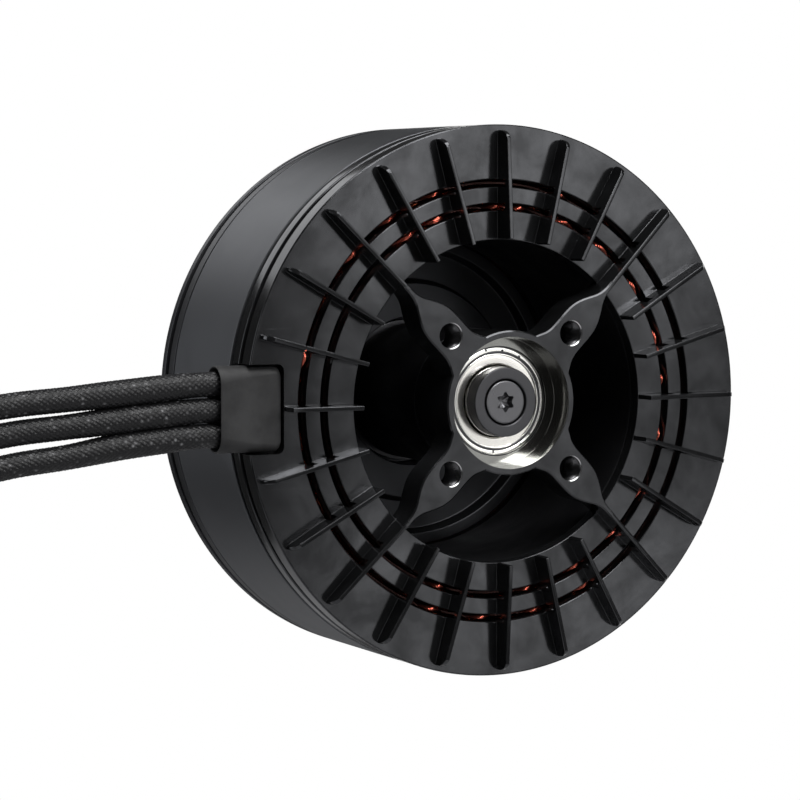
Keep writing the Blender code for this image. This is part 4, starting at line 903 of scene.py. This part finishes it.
def turned_pieces():
    tube_rows = [(13.6, 20.8), (20.0, 20.8), (20.0, 63.2), (16.2, 63.2), (16.2, 52.4), (13.6, 52.4)]
    soup = lathe(rounded(tube_rows, 0.5), 160)
    piece("bearing_tube_turned", soup, "stator", looks["carrier"], ["bearing_tube"])
    ring = [(45.5, 11.3), (53.2, 11.3), (53.2, 14.3), (48.4, 14.3), (48.4, 56.0), (45.5, 56.0)]
    soup = lathe(rounded(ring, 0.4), 240)
    piece("carrier_turned", soup, "stator", looks["carrier"], ["stator_carrier"])
    can = [(74.2, 20.4), (77.5, 20.4), (77.5, 58.8), (74.2, 58.8)]
    soup = lathe(rounded(can, 0.45, 4), 320)
    piece("rotor_can", soup, "rotor", looks["can"], ["flux_ring"])
    nose = [(0.0, 75.2), (1.6, 76.6), (1.9, 77.5), (7.5, 77.5), (8.0, 77.0), (8.0, 68.5)]
    nose += [(21.0, 68.5), (21.0, 64.5), (9.8, 64.5), (9.8, 63.3), (7.3, 63.3), (7.3, 8.5)]
    nose += [(3.0, 8.5), (3.0, 24.5), (0.0, 26.5)]
    soup = lathe(rounded(nose, 0.25, 2, closed=False), 120, closed=False)
    piece("shaft_turned", soup, "rotor", looks["dark_steel"], ["shaft"])


def through_hole(radius, centre, front, back, flare):
    """A cutter for a hole whose two edges are chamfered."""
    wide = radius + flare + 1
    rows = [(0.0, front - 1), (wide, front - 1), (radius, front + flare)]
    rows += [(radius, back - flare), (wide, back + 1), (0.0, back + 1)]
    return lathe(rows, 40, closed=False).moved(centre[0], 0.0, centre[1])


VENT_COUNT, VENT_CIRCLE_RADIUS, PROPELLER_SCREW_RADIUS = 12, 57.0, 22.5


def rotor_bell():
    profile = [
        (8.3, 68.8), (22, 68.8), (22, 60), (32, 60), (33, 63.5), (41.5, 63.5),
        (42.5, 60), (46, 60), (47, 62), (70.8, 62), (71.6, 60.5), (71.6, 56.5),
        (73.9, 56.5), (73.9, 59.1), (77.5, 59.1), (77.5, 63), (76, 63.2), (76, 65),
        (77.5, 65.2), (77.5, 67.8), (76.3, 70.4), (68, 70.4), (66, 66), (34, 67.5),
        (31, 76.5), (29.5, 78), (8.3, 78),
    ]
    cutter = Soup()
    for angle in evenly(VENT_COUNT, math.pi / VENT_COUNT):
        add_soup(cutter, through_hole(6.0, polar(VENT_CIRCLE_RADIUS, angle), 62.0, 66.4, 0.4))
    tapped = [(0.0, 70.3), (2.5, 70.3), (2.5, 77.5), (4.0, 79.0), (0.0, 79.0)]
    for angle in evenly(4):
        add_soup(cutter, lathe(tapped, 32, closed=False).moved(*place_of(PROPELLER_SCREW_RADIUS, angle)))
    bored = [(0.0, 67.8), (2.3, 67.8), (2.3, 73.7), (3.8, 73.7), (3.8, 77.6), (5.2, 79.0), (0.0, 79.0)]
    for angle in evenly(4, math.pi / 4):
        add_soup(cutter, lathe(bored, 40, closed=False).moved(*place_of(FLANGE_SCREW_RADIUS, angle)))
    soup = lathe(rounded(profile, 0.4), 320)
    piece("bell_turned", soup, "rotor", looks["bell"], ["rotor_bell"], cutter=cutter)


def place_of(radius, angle):
    x, z = polar(radius, angle)
    return x, 0.0, z


# ------------ windings

TEETH, STACK_MIDDLE, WIRE_RADIUS, LINK_Y = 36, 40.0, 0.5, 12.1
CREST_HEIGHT, CREST_HALF_WIDTH = 3.2, 2.7
# Where the link rings rise into the slots, in degrees round the axis, and the half widths that differ.
CRESTS = {
    "a": (5, 18, 35.5, 51.5, 66.5, 82.5, 90.7, 109.5, 112.5, 120, 123, 250.4, 280.5, 298, 314.5, 330, 348),
    "b": (70.5, 108.8, 123.3, 137.5, 167.2, 250.4, 265.7, 281.7, 297.8),
    "c": (),
}
OTHER_HALF_WIDTHS = {
    "a": {5: 2.6, 18: 3.6, 35.5: 4, 51.5: 4, 66.5: 3.8, 82.5: 3, 298: 3.2, 314.5: 3.8, 330: 3.8, 348: 3.6},
    "b": {70.5: 2.4, 297.8: 2.9},
    "c": {},
}


def twisted_ring(radius, y, phase, bundle=0.42, strands=6, wire=0.33, pitch=6.0, per_turn=14):
    """Wires twisted round each other, in a ring about the motor's axis that rises at the phase's crests."""
    turns = round(TAU * radius / pitch)
    n = turns * per_turn
    around = TAU * np.arange(n) / n
    level = np.full(n, float(y))
    for crest in CRESTS[phase]:
        half_width = math.radians(OTHER_HALF_WIDTHS[phase].get(crest, CREST_HALF_WIDTH))
        away = (around - math.radians(crest) + math.pi) % TAU - math.pi
        level -= CREST_HEIGHT * np.exp(-((away / half_width) ** 2))
    soup = Soup()
    for k in range(strands):
        twist = turns * around + TAU * k / strands
        r = radius + bundle * np.cos(twist)
        path = np.stack([r * np.cos(around), level + bundle * np.sin(twist), r * np.sin(around)], 1)
        add_soup(soup, tube(path, wire, closed=True))
    return soup


def coil_soup():
    """One coil on the tooth at angle 0: an outer layer of turns on a solid inner winding."""
    soup = Soup()
    for k, radius in enumerate(np.arange(53.3, 66.4, 1.0)):
        outline = rounded_box_outline(3.62 + 0.06 * (k % 2), 17.6, 2.2, 5) + [0.0, STACK_MIDDLE]
        path = np.stack([np.full(len(outline), radius), outline[:, 1], outline[:, 0]], 1)
        add_soup(soup, tube(path, WIRE_RADIUS, closed=True))
    inner = rounded_box_outline(3.1, 17.0, 1.8, 3)
    hole = rounded_box_outline(2.5, 13.4, 0.4, 3)
    n = len(inner)
    rows = []
    for radius, loop in ((53.0, hole), (53.0, inner), (66.6, inner), (66.6, hole)):
        rows.append(np.stack([np.full(n, radius), loop[:, 1] + STACK_MIDDLE, loop[:, 0]], 1))
    soup.add(np.concatenate(rows), quads(4, n, True, True))
    return soup


def windings():
    slot, pattern, coil = "enamelled_copper", "aabbccaabbcc", coil_soup()
    links = {"a": 54.55, "b": 61.15, "c": 57.9}
    for phase, radius in links.items():
        link = twisted_ring(radius, LINK_Y, phase)
        piece(f"winding_{phase}_link", link, "stator", looks["link"], weighted=False)
        angles = [k * TAU / TEETH for k in range(TEETH) if pattern[k % len(pattern)] == phase]
        post = tube([(radius, 12.4, 0.0), (radius + 0.1, 16.0, 0.3), (radius, 22.6, 0.0)], WIRE_RADIUS)
        soup = Soup().add_turned(coil, angles).add_turned(post, angles)
        name, nodes = f"winding_{phase}_wires", [f"winding_phase_{phase}"]
        piece(name, soup, "stator", looks["copper"], nodes, weighted=False)


# ------------ boot


def lead_boot():
    """The moulded sleeve round the three leads, with a rounded lip and an open mouth."""
    rows = [
        (-66.85, 3.9, 9.6, 1.6), (-67, 4.3, 10.3, 1.9), (-67.35, 4.6, 11, 2.1),
        (-67.9, 4.8, 11.5, 2.3), (-68.7, 4.88, 11.76, 2.4), (-70, 4.9, 11.8, 2.5),
        (-77, 4.84, 11.74, 3.1), (-80.5, 4.86, 11.76, 4), (-82.2, 4.97, 11.87, 4.5),
        (-83.6, 5, 11.9, 4.8), (-84.4, 4.96, 11.86, 4.8), (-84.75, 4.84, 11.74, 4.7),
        (-84.8, 4.68, 11.58, 4.55), (-84.7, 4.52, 11.42, 4.4), (-84.2, 4.42, 11.32, 4.3),
        (-82.6, 4.3, 11.2, 4.15), (-80.6, 3.9, 10.8, 3.8), (-79, 3.7, 10.6, 3.6),
        (-78.9, 3, 9.9, 2.9),
    ]
    grid = []
    for x, half_y, half_z, corner in rows:
        outline = rounded_box_outline(half_y, half_z, corner)
        grid.append(np.stack([np.full(len(outline), x), outline[:, 0] + LEAD_Y, outline[:, 1]], 1))
    collar = rounded_box_outline(3.0, 13.9, 1.4, 6)
    block = []
    for x, inset in ((-66.7, 0.4), (-66.9, 0.0), (-69.2, 0.0), (-69.5, 0.4)):
        loop = offset_loop(collar, inset)
        block.append(np.stack([np.full(len(loop), x), loop[:, 0] + 14.35, loop[:, 1]], 1))
    soup = add_soup(skin(grid), skin(block))
    piece("boot_moulded", soup, "stator", looks["rubber"], ["lead_boot"])


base_rim()
base_body()
base_hub()
bearing("front", FRONT_BEARING)
bearing("rear", REAR_BEARING)
shield_clip()
race_marks()
shaft_end()
screws()
turned_pieces()
rotor_bell()
windings()
lead_boot()

KEPT = {
    "stack": ("stator_core",),
    "magnet": ("magnet_ring",),
    "copper": ("lead_joint_a", "lead_joint_b", "lead_joint_c"),
    "steel": ("front_bearing_balls", "rear_bearing_balls", "preload_washer", "bearing_spacer"),
}
for look, nodes in KEPT.items():
    for node in nodes:
        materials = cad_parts[node].data.materials
        materials.clear()
        materials.append(looks[look])

# ------------ stage and light


def make_floor():
    """A pale round floor below the hanging plugs."""
    look = Look("pale_floor", (0.55, 0.55, 0.56), 0.6, 0.0)
    look.tint(look.spread(look.noise(3.0, 2.0), 0.0, 1.0), 0.99, 1.01)
    rows = [(0.0, -300.0), (480.0, -300.0), (520.0, -302.0), (520.0, -304.0), (0.0, -304.0)]
    soup = lathe(rows, 160, closed=False)
    soup.points = [np.stack([p[:, 0] - 40.0, -p[:, 2] + 30.0, p[:, 1] + 30.0], 1) for p in soup.points]
    floor = bpy.data.objects.new("floor", soup.mesh("floor"))
    floor.data.materials.append(look.material)
    scene.collection.objects.link(floor)


def softbox(name, place, size, power, colour=(1.0, 1.0, 1.0), aim=(0.0, 0.02, 0.0)):
    data = bpy.data.lights.new(name, "AREA")
    data.shape = "RECTANGLE"
    data.size, data.size_y = size
    data.energy, data.color = power, colour
    light = bpy.data.objects.new(name, data)
    light.location = place
    away = Vector(place) - Vector(aim)
    light.rotation_euler = away.to_track_quat("Z", "Y").to_euler()
    light.visible_camera = False
    scene.collection.objects.link(light)


def make_light():
    softbox("right_box_upper", (0.55, -0.95, 0.235), (0.3, 0.47), 0.93, aim=(0.0, 0.02, 0.2))
    softbox("right_box_middle", (0.55, -0.95, -0.075), (0.3, 0.15), 0.095, aim=(0.0, 0.02, -0.04))
    softbox("right_box_lower", (0.55, -0.95, -0.22), (0.3, 0.14), 0.19, aim=(0.0, 0.02, -0.14))
    softbox("high_right_box", (0.28, -0.93, 0.41), (0.26, 0.2), 2.5)
    softbox("top_front_box", (0.05, -0.6, 0.85), (0.6, 0.35), 5.0)
    softbox("top_box", (0.05, -0.2, 0.9), (0.95, 0.3), 6.5)
    softbox("back_top_box", (-0.25, 0.95, 0.55), (0.8, 0.4), 1.35, (0.97, 0.98, 1.0))
    softbox("back_left_box", (-0.9, 0.7, 0.05), (0.5, 0.8), 2.6, (0.95, 0.97, 1.0))
    softbox("front_fill_box", (0.0, -1.25, 0.0), (0.5, 0.5), 0.8)
    softbox("right_side_box", (0.95, 0.3, 0.1), (0.4, 0.6), 0.8)
    softbox("back_right_box", (0.7, 0.85, -0.08), (0.6, 0.6), 1.8)
    world = bpy.data.worlds.new("studio")
    scene.world = world
    world.use_nodes = True
    tree = world.node_tree
    background = tree.nodes["Background"]
    background.inputs["Color"].default_value = (1.0, 1.0, 1.0, 1.0)
    seen = tree.nodes.new("ShaderNodeLightPath")
    level = tree.nodes.new("ShaderNodeMapRange")
    level.inputs["To Min"].default_value = 0.04
    level.inputs["To Max"].default_value = 1.0
    tree.links.new(seen.outputs["Is Camera Ray"], level.inputs["Value"])
    tree.links.new(level.outputs["Result"], background.inputs["Strength"])


make_floor()
make_light()
